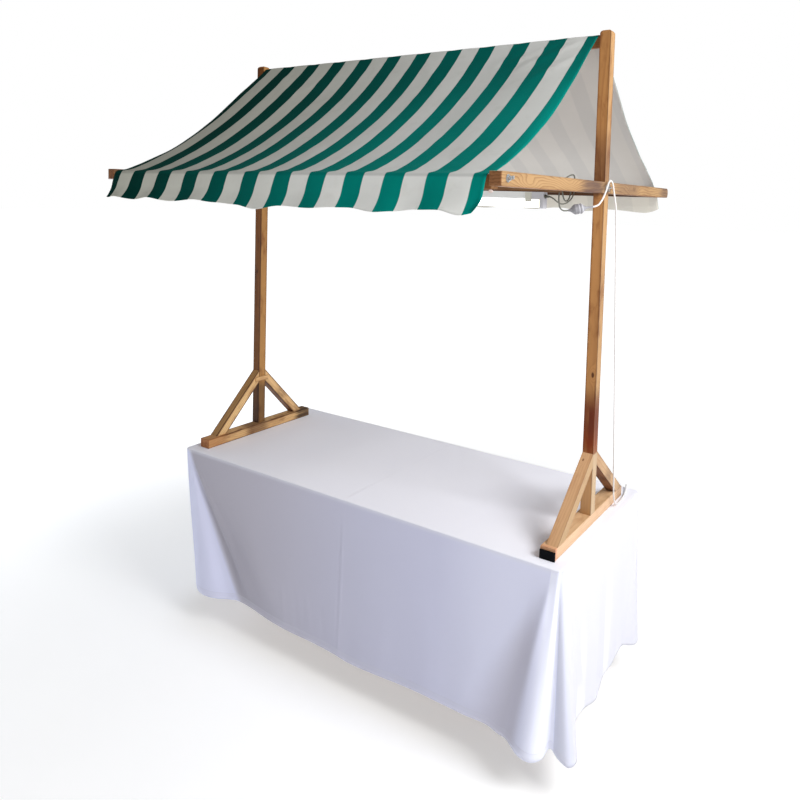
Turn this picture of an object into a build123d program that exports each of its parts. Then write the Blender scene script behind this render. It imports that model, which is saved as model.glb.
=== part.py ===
from build123d import *
import os
import math

# Market stall: a timber canopy frame that stands on a cloth-covered table.
# Frame: X along the stall's length (right is +X), front is -Y, Z up from the
# floor. The origin is on the floor under the middle of the canopy frame.

os.makedirs("parts", exist_ok=True)

# ---------------------------------------------------------------- dimensions
T = 40.0            # timber section, square
R = 3.0             # rounded arris of the timber
XO = 874.0          # outer faces of the two end frames
XI = XO - T         # inner faces
XM = XO - T / 2     # middle of a post or arm

TABLE_L = 1830.0
TABLE_W = 762.0
TABLE_T = 26.0
TABLE_Y = 18.0      # the table's middle lies a little behind the frame's
CLOTH_T = 3.0
TOP_Z = 740.0       # upper side of the cloth, where the feet stand
HEM_Z = 128.0       # lower edge of the cloth

FOOT_W = 54.0       # foot board, across
FOOT_F = -318.0     # front end of a foot board
FOOT_B = 308.0      # back end
POST_TOP = 2492.0   # rounded post heads stand just above the ridge
RIDGE_TOP = 2474.0
ARM_Z = 1928.0      # underside of the arms
ARM_Y = 760.0       # reach of the arms each way
RAIL_Z = 1920.0     # underside of the front rail
BACK_Z = 1928.0     # underside of the slimmer back rail, level with the arms
RAIL_Y = 747.0      # outer face of those rails
RIDGE_Z = RIDGE_TOP - T
RIDGE_T = 20.0      # the ridge rail stands on edge

# lamp: a 1.5 m tube on a slim batten, under a lath between the arms
LAMP_Y = -300.0
LAMP_Z = 1923.0     # top of the lamp's end caps
LATH_Z = 1923.0     # underside of the lath
LAMP_HALF = 781.0
TUBE_R = 13.0

LEAD_D = 6.0        # the supply lead is 6 mm across
LAMP_LEAD_D = 4.6   # the lamp's own lead is thinner
CONN_A = Vector(822, -208, 1866)    # coupling, lamp side
CONN_B = Vector(890, -161, 1881)    # coupling, supply side
COIL_C = (785.0, 535.0)             # middle of the stored coil, on the floor
COIL_R = 39.0                       # outermost turn, to the lead's middle

CAN_X = 824.0       # half width of the canopy
CAN_T = 3.0

LEG = 45.0
TRESTLE_X = 600.0
TRESTLE_Y = 165.0   # trestle legs, each side of the table's middle

table_under = TOP_Z - CLOTH_T - TABLE_T


def save(part, name):
    part.label = name
    export_step(part, f"parts/{name}.step")


# ------------------------------------------------------------------ table
with BuildPart() as table_top:
    with BuildSketch(Plane.XY.offset(table_under)):
        with Locations((0, TABLE_Y)):
            RectangleRounded(TABLE_L, TABLE_W, 18)
    extrude(amount=TABLE_T)
save(table_top.part, "table_top")

BEAM_H = 70.0
for side, sx in (("left", -1), ("right", 1)):
    with BuildPart() as beam:
        with BuildSketch(Plane.XY.offset(table_under - BEAM_H)):
            with Locations((sx * TRESTLE_X, TABLE_Y)):
                Rectangle(LEG, 620)
        extrude(amount=BEAM_H)
    save(beam.part, f"{side}_trestle_beam")
    for end, sy in (("front", -1), ("back", 1)):
        with BuildPart() as leg:
            with BuildSketch(Plane.XY):
                with Locations((sx * TRESTLE_X, TABLE_Y + sy * TRESTLE_Y)):
                    Rectangle(LEG, LEG)
            extrude(amount=table_under - BEAM_H)
        save(leg.part, f"{side}_trestle_leg_{end}")
    with BuildPart() as stretcher:
        with BuildSketch(Plane.XY.offset(190)):
            with Locations((sx * TRESTLE_X, TABLE_Y)):
                Rectangle(28, 2 * TRESTLE_Y - LEG)
        extrude(amount=60)
    save(stretcher.part, f"{side}_trestle_stretcher")

with BuildPart() as long_stretcher:
    with BuildSketch(Plane.XY.offset(200)):
        with Locations((0, TABLE_Y)):
            Rectangle(2 * TRESTLE_X - 28, 28)
    extrude(amount=40)
save(long_stretcher.part, "long_stretcher")

# --------------------------------------------------------------- tablecloth
with BuildPart() as cloth_top:
    with BuildSketch(Plane.XY.offset(TOP_Z - CLOTH_T)):
        with Locations((0, TABLE_Y)):
            Rectangle(TABLE_L, TABLE_W)
    extrude(amount=CLOTH_T)
save(cloth_top.part, "cloth_top")

for name, sy in (("cloth_front", -1), ("cloth_back", 1)):
    with BuildPart() as panel:
        with BuildSketch(Plane.XY.offset(HEM_Z)):
            with Locations((0, TABLE_Y + sy * (TABLE_W + CLOTH_T) / 2)):
                Rectangle(TABLE_L, CLOTH_T)
        extrude(amount=TOP_Z - HEM_Z)
    save(panel.part, name)
for name, sx in (("cloth_left", -1), ("cloth_right", 1)):
    with BuildPart() as panel:
        with BuildSketch(Plane.XY.offset(HEM_Z)):
            with Locations((sx * (TABLE_L + CLOTH_T) / 2, TABLE_Y)):
                Rectangle(CLOTH_T, TABLE_W + 2 * CLOTH_T)
        extrude(amount=TOP_Z - HEM_Z)
    save(panel.part, name)

# ----------------------------------------------------------------- end frames
# Each foot: a board along Y, two braces and the post standing on it. The two
# feet differ: the left one is steeper.
feet = {"left": dict(toe=265.0, apex=296.0), "right": dict(toe=303.0, apex=264.0)}
for side, sx in (("left", -1), ("right", 1)):
    toe = feet[side]["toe"]
    apex = feet[side]["apex"]
    rise = apex - T
    run = toe - T / 2
    ang = math.atan2(rise, run)
    with BuildPart() as board:
        with BuildSketch(Plane.XY.offset(TOP_Z)):
            with Locations((sx * (XO - FOOT_W / 2), (FOOT_F + FOOT_B) / 2)):
                Rectangle(FOOT_W, FOOT_B - FOOT_F)
        extrude(amount=T)
        fillet(board.edges().filter_by(Axis.Y), R)
    save(board.part, f"{side}_foot_board")
    x0 = min(sx * XI, sx * XO)
    for end, sy in (("front", -1), ("back", 1)):
        with BuildPart() as brace:
            with BuildSketch(Plane.YZ.offset(x0)):
                with BuildLine():
                    Polyline(
                        (sy * toe, TOP_Z + T),
                        (sy * (toe - T / math.sin(ang)), TOP_Z + T),
                        (sy * T / 2, TOP_Z + apex - T / math.cos(ang)),
                        (sy * T / 2, TOP_Z + apex),
                        close=True,
                    )
                make_face()
            extrude(amount=T)
        save(brace.part, f"{side}_{end}_brace")
    with BuildPart() as post:
        with BuildSketch(Plane.XY.offset(TOP_Z + T)):
            with Locations((sx * XM, 0)):
                Rectangle(T, T)
        extrude(amount=POST_TOP - TOP_Z - T)
        # half-lap for the arm, cut from the inner side
        with BuildSketch(Plane.XY.offset(ARM_Z)):
            with Locations((sx * (XI + T / 4), 0)):
                Rectangle(T / 2, T)
        extrude(amount=T, mode=Mode.SUBTRACT)
        fillet(post.faces().sort_by(Axis.Z)[-1].edges(), 13)
    save(post.part, f"{side}_post")
    with BuildPart() as arm:
        with BuildSketch(Plane.XY.offset(ARM_Z)):
            with Locations((sx * XM, 0)):
                Rectangle(T, 2 * ARM_Y)
        extrude(amount=T)
        with BuildSketch(Plane.XY.offset(ARM_Z)):
            with Locations((sx * (XO - T / 4), 0)):
                Rectangle(T / 2, T)
        extrude(amount=T, mode=Mode.SUBTRACT)
        fillet(arm.faces().sort_by(Axis.Y)[-1].edges().filter_by(Axis.X), 17)
        fillet(arm.faces().sort_by(Axis.Y)[0].edges(), 5)
    save(arm.part, f"{side}_arm")

# --------------------------------------------------------------------- rails
for name, y, z, thick, high in (
    ("front_rail", -RAIL_Y + T / 2, RAIL_Z, T, T),
    ("back_rail", RAIL_Y - T / 2, BACK_Z, T, RAIL_Z + T - BACK_Z),
    ("ridge_rail", 0, RIDGE_Z, RIDGE_T, T),
):
    with BuildPart() as rail:
        with BuildSketch(Plane.XY.offset(z)):
            with Locations((0, y)):
                Rectangle(2 * XI, thick)
        extrude(amount=high)
        fillet(rail.edges().filter_by(Axis.X), R)
    save(rail.part, name)

# -------------------------------------------------------------------- canopy
# Upper line of the cloth, from the ridge down to the eave (distance from the
# ridge, height).
front_line = [(0, RIDGE_Z + T + CAN_T), (RIDGE_T / 2, RIDGE_Z + T + CAN_T), (82, 2404), (160, 2331), (230, 2271), (310, 2207),
              (390, 2148), (510, 2066), (625, 2008), (706, 1972), (RAIL_Y, RAIL_Z + T + CAN_T)]
back_line = [(0, RIDGE_Z + T + CAN_T), (RIDGE_T / 2, RIDGE_Z + T + CAN_T), (90, 2408), (235, 2282), (392, 2167), (500, 2102),
             (577, 2060), (680, 1995), (735, RAIL_Z + T + CAN_T), (RAIL_Y, RAIL_Z + T + CAN_T)]
for name, line, sy in (("canopy_front", front_line, -1), ("canopy_back", back_line, 1)):
    # flat strips that meet face to face, from the ridge down to the eave
    strips = []
    for (y0, z0), (y1, z1) in zip(line, line[1:]):
        with BuildPart() as strip:
            with BuildSketch(Plane.YZ.offset(-CAN_X)):
                with BuildLine():
                    Polyline((sy * y0, z0), (sy * y1, z1), (sy * y1, z1 - CAN_T), (sy * y0, z0 - CAN_T), close=True)
                make_face()
            extrude(amount=2 * CAN_X)
        strips.append(strip.part.solid())
    save(Compound(strips), name)

valance_line = [(RAIL_Y, 1963), (763, 1942), (772, 1916), (784, 1896), (797, 1868)]
for name, sy in (("valance_front", -1), ("valance_back", 1)):
    with BuildPart() as valance:
        with BuildSketch(Plane.YZ.offset(-CAN_X)):
            with BuildLine():
                outer = [(sy * (y + CAN_T), z) for y, z in valance_line]
                inner = [(sy * y, z) for y, z in reversed(valance_line)]
                Polyline(*outer, *inner, close=True)
            make_face()
        extrude(amount=2 * CAN_X)
    save(valance.part, name)

# ------------------------------------------------------------------ hardware
with BuildPart() as cap:
    with BuildSketch(Plane.XY.offset(TOP_Z)):
        with Locations((XO - FOOT_W / 2, FOOT_F - 4)):
            Rectangle(FOOT_W, 8)
    extrude(amount=29)
    fillet(cap.faces().sort_by(Axis.Y)[0].edges(), 2.5)
save(cap.part, "right_foot_end_cap")

# flat tie across each foot's crotch, on the inner side
for side, sx, z in (("left", -1, 257.0), ("right", 1, 224.0)):
    with BuildPart() as tie:
        with BuildSketch(Plane.XY.offset(TOP_Z + z - 10.5)):
            with Locations((sx * (XI - 2.5), -4)):
                Rectangle(5, 76)
        extrude(amount=21)
    save(tie.part, f"{side}_foot_tie")


def wing_nut(sx, y, z):
    """Washer, wing nut and stud end standing on an arm's outer face."""
    with BuildPart() as nut:
        with BuildSketch(Plane.YZ.offset(sx * XO)):
            with Locations((y, z)):
                Circle(11)
        extrude(amount=sx * 1.6)
        with BuildSketch(Plane.YZ.offset(sx * (XO + 1.6))):
            with Locations((y, z)):
                Circle(6.5)
        extrude(amount=sx * 7.0)
        with BuildSketch(Plane.YZ.offset(sx * (XO + 8.6))):
            with Locations((y, z)):
                Circle(3.0)
        extrude(amount=sx * 9.4)
        for s in (-1, 1):
            with BuildSketch(Plane.XZ.offset(-(y - 1.1))):
                with BuildLine():
                    Polyline(
                        (sx * (XO + 2.6), z + s * 4.0),
                        (sx * (XO + 3.6), z + s * 11.0),
                        (sx * (XO + 10.0), z + s * 14.5),
                        (sx * (XO + 14.0), z + s * 12.0),
                        (sx * (XO + 8.2), z + s * 4.0),
                        close=True,
                    )
                make_face()
            extrude(amount=-2.2)
    return nut


for side, sx in (("left", -1), ("right", 1)):
    middle = wing_nut(sx, 0.0, 1948.0)
    save(middle.part, f"{side}_post_wing_nut")
    y, z = -RAIL_Y + T / 2, 1950.0
    front = wing_nut(sx, y, z)
    # the wings stand a little up from level
    save(front.part.rotate(Axis((0, y, z), (1, 0, 0)), -62), f"{side}_rail_wing_nut")

# ---------------------------------------------------------------------- lamp
with BuildPart() as lamp_lath:
    with BuildSketch(Plane.XY.offset(LATH_Z)):
        with Locations((0, LAMP_Y)):
            Rectangle(2 * XI, 20)
    extrude(amount=20)
    fillet(lamp_lath.edges().filter_by(Axis.X), 2)
save(lamp_lath.part, "lamp_lath")

with BuildPart() as batten:
    with BuildSketch(Plane.XY.offset(LAMP_Z - 24)):
        with Locations((0, LAMP_Y)):
            Rectangle(2 * (LAMP_HALF - 40), 28)
    extrude(amount=LATH_Z - LAMP_Z + 24)
    fillet(batten.faces().sort_by(Axis.Z)[0].edges().filter_by(Axis.X), 5)
save(batten.part, "lamp_batten")

with BuildPart() as tube:
    with BuildSketch(Plane.YZ.offset(-(LAMP_HALF - 12))):
        with Locations((LAMP_Y, LAMP_Z - 24 - TUBE_R)):
            Circle(TUBE_R - 0.2)
    extrude(amount=2 * (LAMP_HALF - 12))
save(tube.part, "lamp_tube")

for side, sx in (("left", -1), ("right", 1)):
    with BuildPart() as holder:
        with BuildSketch(Plane.XY.offset(LAMP_Z - 24)):
            with Locations((sx * (LAMP_HALF - 20), LAMP_Y)):
                Rectangle(40, 32)
        extrude(amount=24)
        with BuildSketch(Plane.YZ.offset(sx * (LAMP_HALF - 12))):
            with Locations((LAMP_Y, LAMP_Z - 24 - TUBE_R - 1)):
                RectangleRounded(30, 2 * TUBE_R + 4, 6)
            with Locations((LAMP_Y, LAMP_Z - 24 - 6)):
                Rectangle(30, 12)
        extrude(amount=sx * 12)
    save(holder.part, f"lamp_holder_{side}")

with BuildPart() as clips:
    for x in (-729.0, 729.0):
        with BuildSketch(Plane.XY.offset(LAMP_Z - 32)):
            with Locations((x, LAMP_Y - 15.2), (x, LAMP_Y + 15.2)):
                Rectangle(23, 2.4)
        extrude(amount=30)
save(clips.part, "lamp_clips")

with BuildPart() as gland:
    with BuildSketch(Plane.YZ.offset(LAMP_HALF)):
        with Locations((LAMP_Y, 1909)):
            Circle(6.6)
    extrude(amount=3)
    with BuildSketch(Plane.YZ.offset(LAMP_HALF + 3)):
        with Locations((LAMP_Y, 1909)):
            Circle(4.6)
    extrude(amount=3)
save(gland.part, "lamp_gland")


# --------------------------------------------------------------------- leads
def radii(pts):
    """Arc radius at each inner corner: 0.45 of the shorter run over tan(half turn)."""
    out = []
    for a, b, c in zip(pts, pts[1:], pts[2:]):
        a, b, c = Vector(*a), Vector(*b), Vector(*c)
        turn = (b - a).get_angle(c - b)
        out.append(0.45 * min((b - a).length, (c - b).length) / math.tan(math.radians(turn / 2)))
    return out


def lead(name, pts, dia):
    """A free lead: straight runs joined by tangent arcs."""
    rad = radii(pts)
    turns = [(Vector(*b) - Vector(*a)).get_angle(Vector(*c) - Vector(*b)) for a, b, c in zip(pts, pts[1:], pts[2:])]
    runs = [(Vector(*b) - Vector(*a)).length for a, b in zip(pts, pts[1:])]
    with BuildPart() as tube_part:
        with BuildLine() as route:
            FilletPolyline(*pts, radius=rad)
        path = route.wires()[0]
        with BuildSketch(Plane(origin=path @ 0, z_dir=path % 0)):
            Circle(dia / 2)
        sweep(path=path)
    area = math.pi * dia * dia / 4
    print(name, "length", round(path.length, 1), "volume ratio", round(tube_part.part.volume / (area * path.length), 4))
    print("  runs", [round(r) for r in runs])
    print("  turns", [round(t) for t in turns])
    print("  radii", [round(r) for r in rad])
    save(tube_part.part, name)
    return path.length


gland_x = LAMP_HALF + 6
ua = (CONN_B - CONN_A).normalized()
ca = (CONN_A.X, CONN_A.Y, CONN_A.Z)
cb = (CONN_B.X, CONN_B.Y, CONN_B.Z)

# dark lead: out of the gland, down, twice up over a hook on the arm's inner
# side and back, then down to the coupling
LAMP_ROUTE = [
    (gland_x, -300, 1909),
    (798.5, -300, 1909),
    (810, -299, 1903.5),
    (819.5, -292, 1893.5),
    (825, -276, 1886.5),
    (827, -250, 1887),
    (828, -221, 1894),
    (826, -190, 1906),
    (823.5, -168, 1923),
    (822.5, -158, 1944),
    (822.5, -161, 1963),
    (827, -176, 1979),
    (834, -202, 1984),
    (835, -231, 1981),
    (828, -252, 1970),
    (823, -261, 1952),
    (822, -261, 1934),
    (821, -252, 1914),
    (817, -231, 1900),
    (813, -203, 1895),
    (810, -177, 1903),
    (809, -162, 1921),
    (810, -161, 1943),
    (812, -173, 1963),
    (813, -196, 1974),
    (814, -221, 1973),
    (815, -242, 1961),
    (815, -254, 1942),
    (812, -260, 1922),
    (809, -257, 1904),
    (806, -246, 1889),
    (802, -233, 1877),
    (804.5, -222.5, 1868),
    (CONN_A.X - 12 * ua.X, CONN_A.Y - 12 * ua.Y, CONN_A.Z - 12 * ua.Z),
    ca,
]
lead("lamp_lead", LAMP_ROUTE, LAMP_LEAD_D)

# coupling between the two leads: a body of revolution along its own axis
length_c = (CONN_B - CONN_A).length
side_c = Vector(0, 0, 1).cross(ua).normalized()
with BuildPart() as coupling:
    with BuildSketch(Plane(origin=ca, x_dir=ua, z_dir=ua.cross(side_c))):
        with BuildLine():
            Polyline(
                (0, 0), (0, 3.6), (7, 5.4), (13, 9.4), (19, 15.0), (23, 17.0), (34, 17.0), (35.5, 15.6), (38.5, 15.6),
                (40, 17.2), (45, 17.2), (49, 14.0), (55, 8.6), (61, 4.6), (65, 3.6), (length_c, 3.4), (length_c, 0),
                close=True,
            )
        make_face()
    revolve(axis=Axis(ca, (ua.X, ua.Y, ua.Z)))
save(coupling.part, "lead_coupling")

# white lead: from the coupling up over the wing nut, straight down to the
# table, over its back edge and down to the floor
SUPPLY_ROUTE = [
    cb,
    (CONN_B.X + 14 * ua.X, CONN_B.Y + 14 * ua.Y, CONN_B.Z + 14 * ua.Z),
    (908, -143, 1895),
    (909, -122, 1910),
    (905, -93, 1928),
    (898, -59, 1947),
    (890, -26, 1964),
    (886, -2, 1974),
    (886, 17, 1972),
    (886, 31, 1959),
    (886, 41, 1938),
    (887, 52, 1911),
    (888, 67, 1875),
    (890, 170, 800),
    (890.5, 175, 776),
    (891, 186, 757),
    (891.5, 204, 746.5),
    (891, 232, 743.2),
    (889, 272, 743.1),
    (884, 314, 743.4),
    (876, 354, 745),
    (867, 388, 750),
    (860, 411, 748),
    (855, 427, 733),
    (851.5, 435, 708),
    (848.5, 437, 668),
    (844, 437.6, 592),
    (839.5, 438.6, 508),
    (835.5, 440.2, 424),
    (832, 442.4, 340),
    (829.5, 445.2, 256),
    (827.5, 448.8, 172),
    (825.6, 454, 112),
    (824.8, 459, 74),
    (824.2, 466, 43),
    (824, 476, 20),
    (824, 489, 7),
    (824.2, 502, 3.06),
    (824.2, 512, 3.06),
]
lead("supply_lead", SUPPLY_ROUTE, LEAD_D)

# stored coil of the white lead, with the short stretches that enter and leave it
PLUG_Z = 12.4  # height of the lead where it enters the plug, whose rim lies on the floor
cx, cy = COIL_C
tilt = math.radians(9.8)
with BuildPart() as coil:
    with BuildSketch(Plane.XY):
        with Locations((cx, cy)):
            Circle(COIL_R + 3)
            Circle(COIL_R - 12, mode=Mode.SUBTRACT)
    extrude(amount=12.5)
    with BuildSketch(Plane(origin=(cx + COIL_R + 0.2, 512, 3.06), z_dir=(0, 1, 0))):
        Circle(LEAD_D / 2)
    extrude(amount=cy - 512)
    with BuildSketch(Plane(origin=(cx - COIL_R, 508, PLUG_Z), z_dir=(0, math.cos(tilt), -math.sin(tilt)))):
        Circle(LEAD_D / 2)
    extrude(amount=30)
save(coil.part, "supply_lead_coil")

plug_o = (cx - COIL_R, 508, PLUG_Z)
plug_axis = Vector(0, -math.cos(tilt), math.sin(tilt))
with BuildPart() as plug:
    with BuildSketch(Plane(origin=plug_o, x_dir=plug_axis, z_dir=(1, 0, 0))):
        with BuildLine():
            Polyline(
                (0, 0), (0, 4.2), (14, 6.0), (18, 9.0), (27, 16.5), (32, 18.0), (46, 18.0), (48, 16.5), (48, 0),
                close=True,
            )
        make_face()
    revolve(axis=Axis(plug_o, (plug_axis.X, plug_axis.Y, plug_axis.Z)))
    face_o = Vector(*plug_o) + plug_axis * 48
    with BuildSketch(Plane(origin=face_o, x_dir=(1, 0, 0), z_dir=plug_axis)):
        with Locations((-9.5, 0), (9.5, 0)):
            Circle(2.4)
    extrude(amount=19)
save(plug.part, "supply_plug")
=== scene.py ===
"""Looks of the market stall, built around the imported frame.

Units are metres, in the frame's own axes: +X along the stall's length, the
serving side faces -Y, +Z up, the floor at 0.
"""

import math

import bmesh
import bpy
import numpy as np
from mathutils import Matrix, Vector, noise

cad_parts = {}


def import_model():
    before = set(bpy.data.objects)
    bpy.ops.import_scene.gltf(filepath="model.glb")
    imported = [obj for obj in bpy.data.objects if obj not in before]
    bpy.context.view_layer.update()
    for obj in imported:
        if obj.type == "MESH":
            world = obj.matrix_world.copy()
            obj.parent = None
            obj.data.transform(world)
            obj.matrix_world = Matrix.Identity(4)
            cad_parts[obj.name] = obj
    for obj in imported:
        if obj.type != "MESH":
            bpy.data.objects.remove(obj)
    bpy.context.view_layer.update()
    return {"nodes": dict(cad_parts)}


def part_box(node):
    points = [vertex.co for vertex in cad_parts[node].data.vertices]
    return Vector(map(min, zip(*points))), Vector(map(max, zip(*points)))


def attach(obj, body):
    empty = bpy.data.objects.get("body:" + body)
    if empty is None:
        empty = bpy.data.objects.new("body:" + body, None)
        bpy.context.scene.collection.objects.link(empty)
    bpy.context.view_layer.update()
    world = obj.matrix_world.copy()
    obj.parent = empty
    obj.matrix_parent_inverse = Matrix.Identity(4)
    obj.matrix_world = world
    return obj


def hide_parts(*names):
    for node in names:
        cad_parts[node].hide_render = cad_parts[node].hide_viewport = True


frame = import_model()
NODES = frame["nodes"]
scene = bpy.context.scene
COLL = scene.collection


# ------------------------------------------------------------------ camera
def add_camera():
    az, pitch, roll = math.radians(31.9), math.radians(-3.3), math.radians(1.8)
    d = Vector((-math.sin(az) * math.cos(pitch), math.cos(az) * math.cos(pitch), math.sin(pitch)))
    r = Vector((math.cos(az), math.sin(az), 0))
    u = r.cross(d)
    r2 = r * math.cos(roll) + u * math.sin(roll)
    u2 = -r * math.sin(roll) + u * math.cos(roll)
    data = bpy.data.cameras.new("camera")
    data.sensor_width = 36.0
    data.lens = 31.5
    data.shift_x = -0.0779
    data.shift_y = -0.1989
    data.clip_end = 200
    cam = bpy.data.objects.new("camera", data)
    m = Matrix.Identity(4)
    for i in range(3):
        m[i][0], m[i][1], m[i][2] = r2[i], u2[i], -d[i]
    m[0][3], m[1][3], m[2][3] = 1.7478, -2.3467, 1.8880
    cam.matrix_world = m
    COLL.objects.link(cam)
    scene.camera = cam


add_camera()


# ---------------------------------------------------------------- materials
class Nodes:
    """A small hand for writing shader nodes."""

    def __init__(self, name):
        self.mat = bpy.data.materials.new(name)
        self.mat.use_nodes = True
        self.t = self.mat.node_tree
        self.t.nodes.clear()
        self.out = self.t.nodes.new("ShaderNodeOutputMaterial")
        self.bsdf = self.t.nodes.new("ShaderNodeBsdfPrincipled")
        self.t.links.new(self.bsdf.outputs["BSDF"], self.out.inputs["Surface"])

    def put(self, socket, value):
        if hasattr(value, "is_linked"):
            self.t.links.new(value, socket)
        elif isinstance(value, (tuple, list)) and len(value) == 3 and len(getattr(socket, "default_value", (0, 0, 0))) == 4:
            socket.default_value = (*value, 1.0)
        else:
            socket.default_value = value

    def node(self, kind, props=None, **inputs):
        n = self.t.nodes.new(kind)
        for k, v in (props or {}).items():
            setattr(n, k, v)
        for k, v in inputs.items():
            self.put(n.inputs[k.replace("_", " ")], v)
        return n

    def object_co(self):
        return self.node("ShaderNodeTexCoord").outputs["Object"]

    def uv(self):
        return self.node("ShaderNodeUVMap", {"uv_map": "cloth"}).outputs["UV"]

    def math(self, op, a, b=0.0, c=0.0, clamp=False):
        n = self.node("ShaderNodeMath", {"operation": op, "use_clamp": clamp})
        for i, v in enumerate((a, b, c)):
            if len(n.inputs) > i:
                self.put(n.inputs[i], v)
        return n.outputs[0]

    def vmath(self, op, a, b=(0, 0, 0)):
        n = self.node("ShaderNodeVectorMath", {"operation": op})
        self.put(n.inputs[0], a)
        if op == "SCALE":
            self.put(n.inputs["Scale"], b)
            return n.outputs[0]
        self.put(n.inputs[1], b)
        return n.outputs["Value"] if op in ("DOT_PRODUCT", "LENGTH", "DISTANCE") else n.outputs[0]

    def combine(self, x, y, z):
        n = self.node("ShaderNodeCombineXYZ")
        for i, v in enumerate((x, y, z)):
            self.put(n.inputs[i], v)
        return n.outputs[0]

    def split(self, v):
        n = self.node("ShaderNodeSeparateXYZ")
        self.put(n.inputs[0], v)
        return n.outputs

    def noise(self, vec, scale, detail=2.0, rough=0.5, dist=0.0):
        n = self.node("ShaderNodeTexNoise")
        self.put(n.inputs["Vector"], vec)
        n.inputs["Scale"].default_value = scale
        n.inputs["Detail"].default_value = detail
        n.inputs["Roughness"].default_value = rough
        n.inputs["Distortion"].default_value = dist
        return n.outputs["Fac"]

    def ramp(self, fac, stops, mode="LINEAR"):
        n = self.node("ShaderNodeValToRGB")
        n.color_ramp.interpolation = mode
        e = n.color_ramp.elements
        while len(e) < len(stops):
            e.new(0.5)
        for s, (p, c) in zip(e, stops):
            s.position = p
            s.color = (c, c, c, 1) if isinstance(c, (int, float)) else (*c, 1)
        self.put(n.inputs["Fac"], fac)
        return n.outputs["Color"]

    def mix(self, fac, a, b, mode="MIX"):
        n = self.node("ShaderNodeMix", {"data_type": "RGBA", "blend_type": mode, "clamp_factor": True})
        self.put(n.inputs[0], fac)
        self.put(n.inputs[6], a)
        self.put(n.inputs[7], b)
        return n.outputs[2]

    def smooth(self, v, lo, hi, to0=0.0, to1=1.0):
        n = self.node("ShaderNodeMapRange", {"interpolation_type": "SMOOTHSTEP", "clamp": True})
        self.put(n.inputs["Value"], v)
        self.put(n.inputs["From Min"], lo)
        self.put(n.inputs["From Max"], hi)
        self.put(n.inputs["To Min"], to0)
        self.put(n.inputs["To Max"], to1)
        return n.outputs["Result"]

    def bump(self, height, distance, strength=1.0, normal=None):
        n = self.node("ShaderNodeBump")
        n.inputs["Strength"].default_value = strength
        n.inputs["Distance"].default_value = distance
        self.put(n.inputs["Height"], height)
        if normal is not None:
            self.put(n.inputs["Normal"], normal)
        return n.outputs["Normal"]

    def finish(self, color=None, rough=0.5, normal=None, metallic=0.0, **constants):
        b = self.bsdf
        if color is not None:
            self.put(b.inputs["Base Color"], color)
        self.put(b.inputs["Roughness"], rough)
        b.inputs["Metallic"].default_value = metallic
        if normal is not None:
            self.put(b.inputs["Normal"], normal)
        for k, v in constants.items():
            s = b.inputs[k.replace("_", " ")]
            s.default_value = (*v, 1.0) if isinstance(v, tuple) and len(v) == 3 else v
        return self.mat


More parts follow.
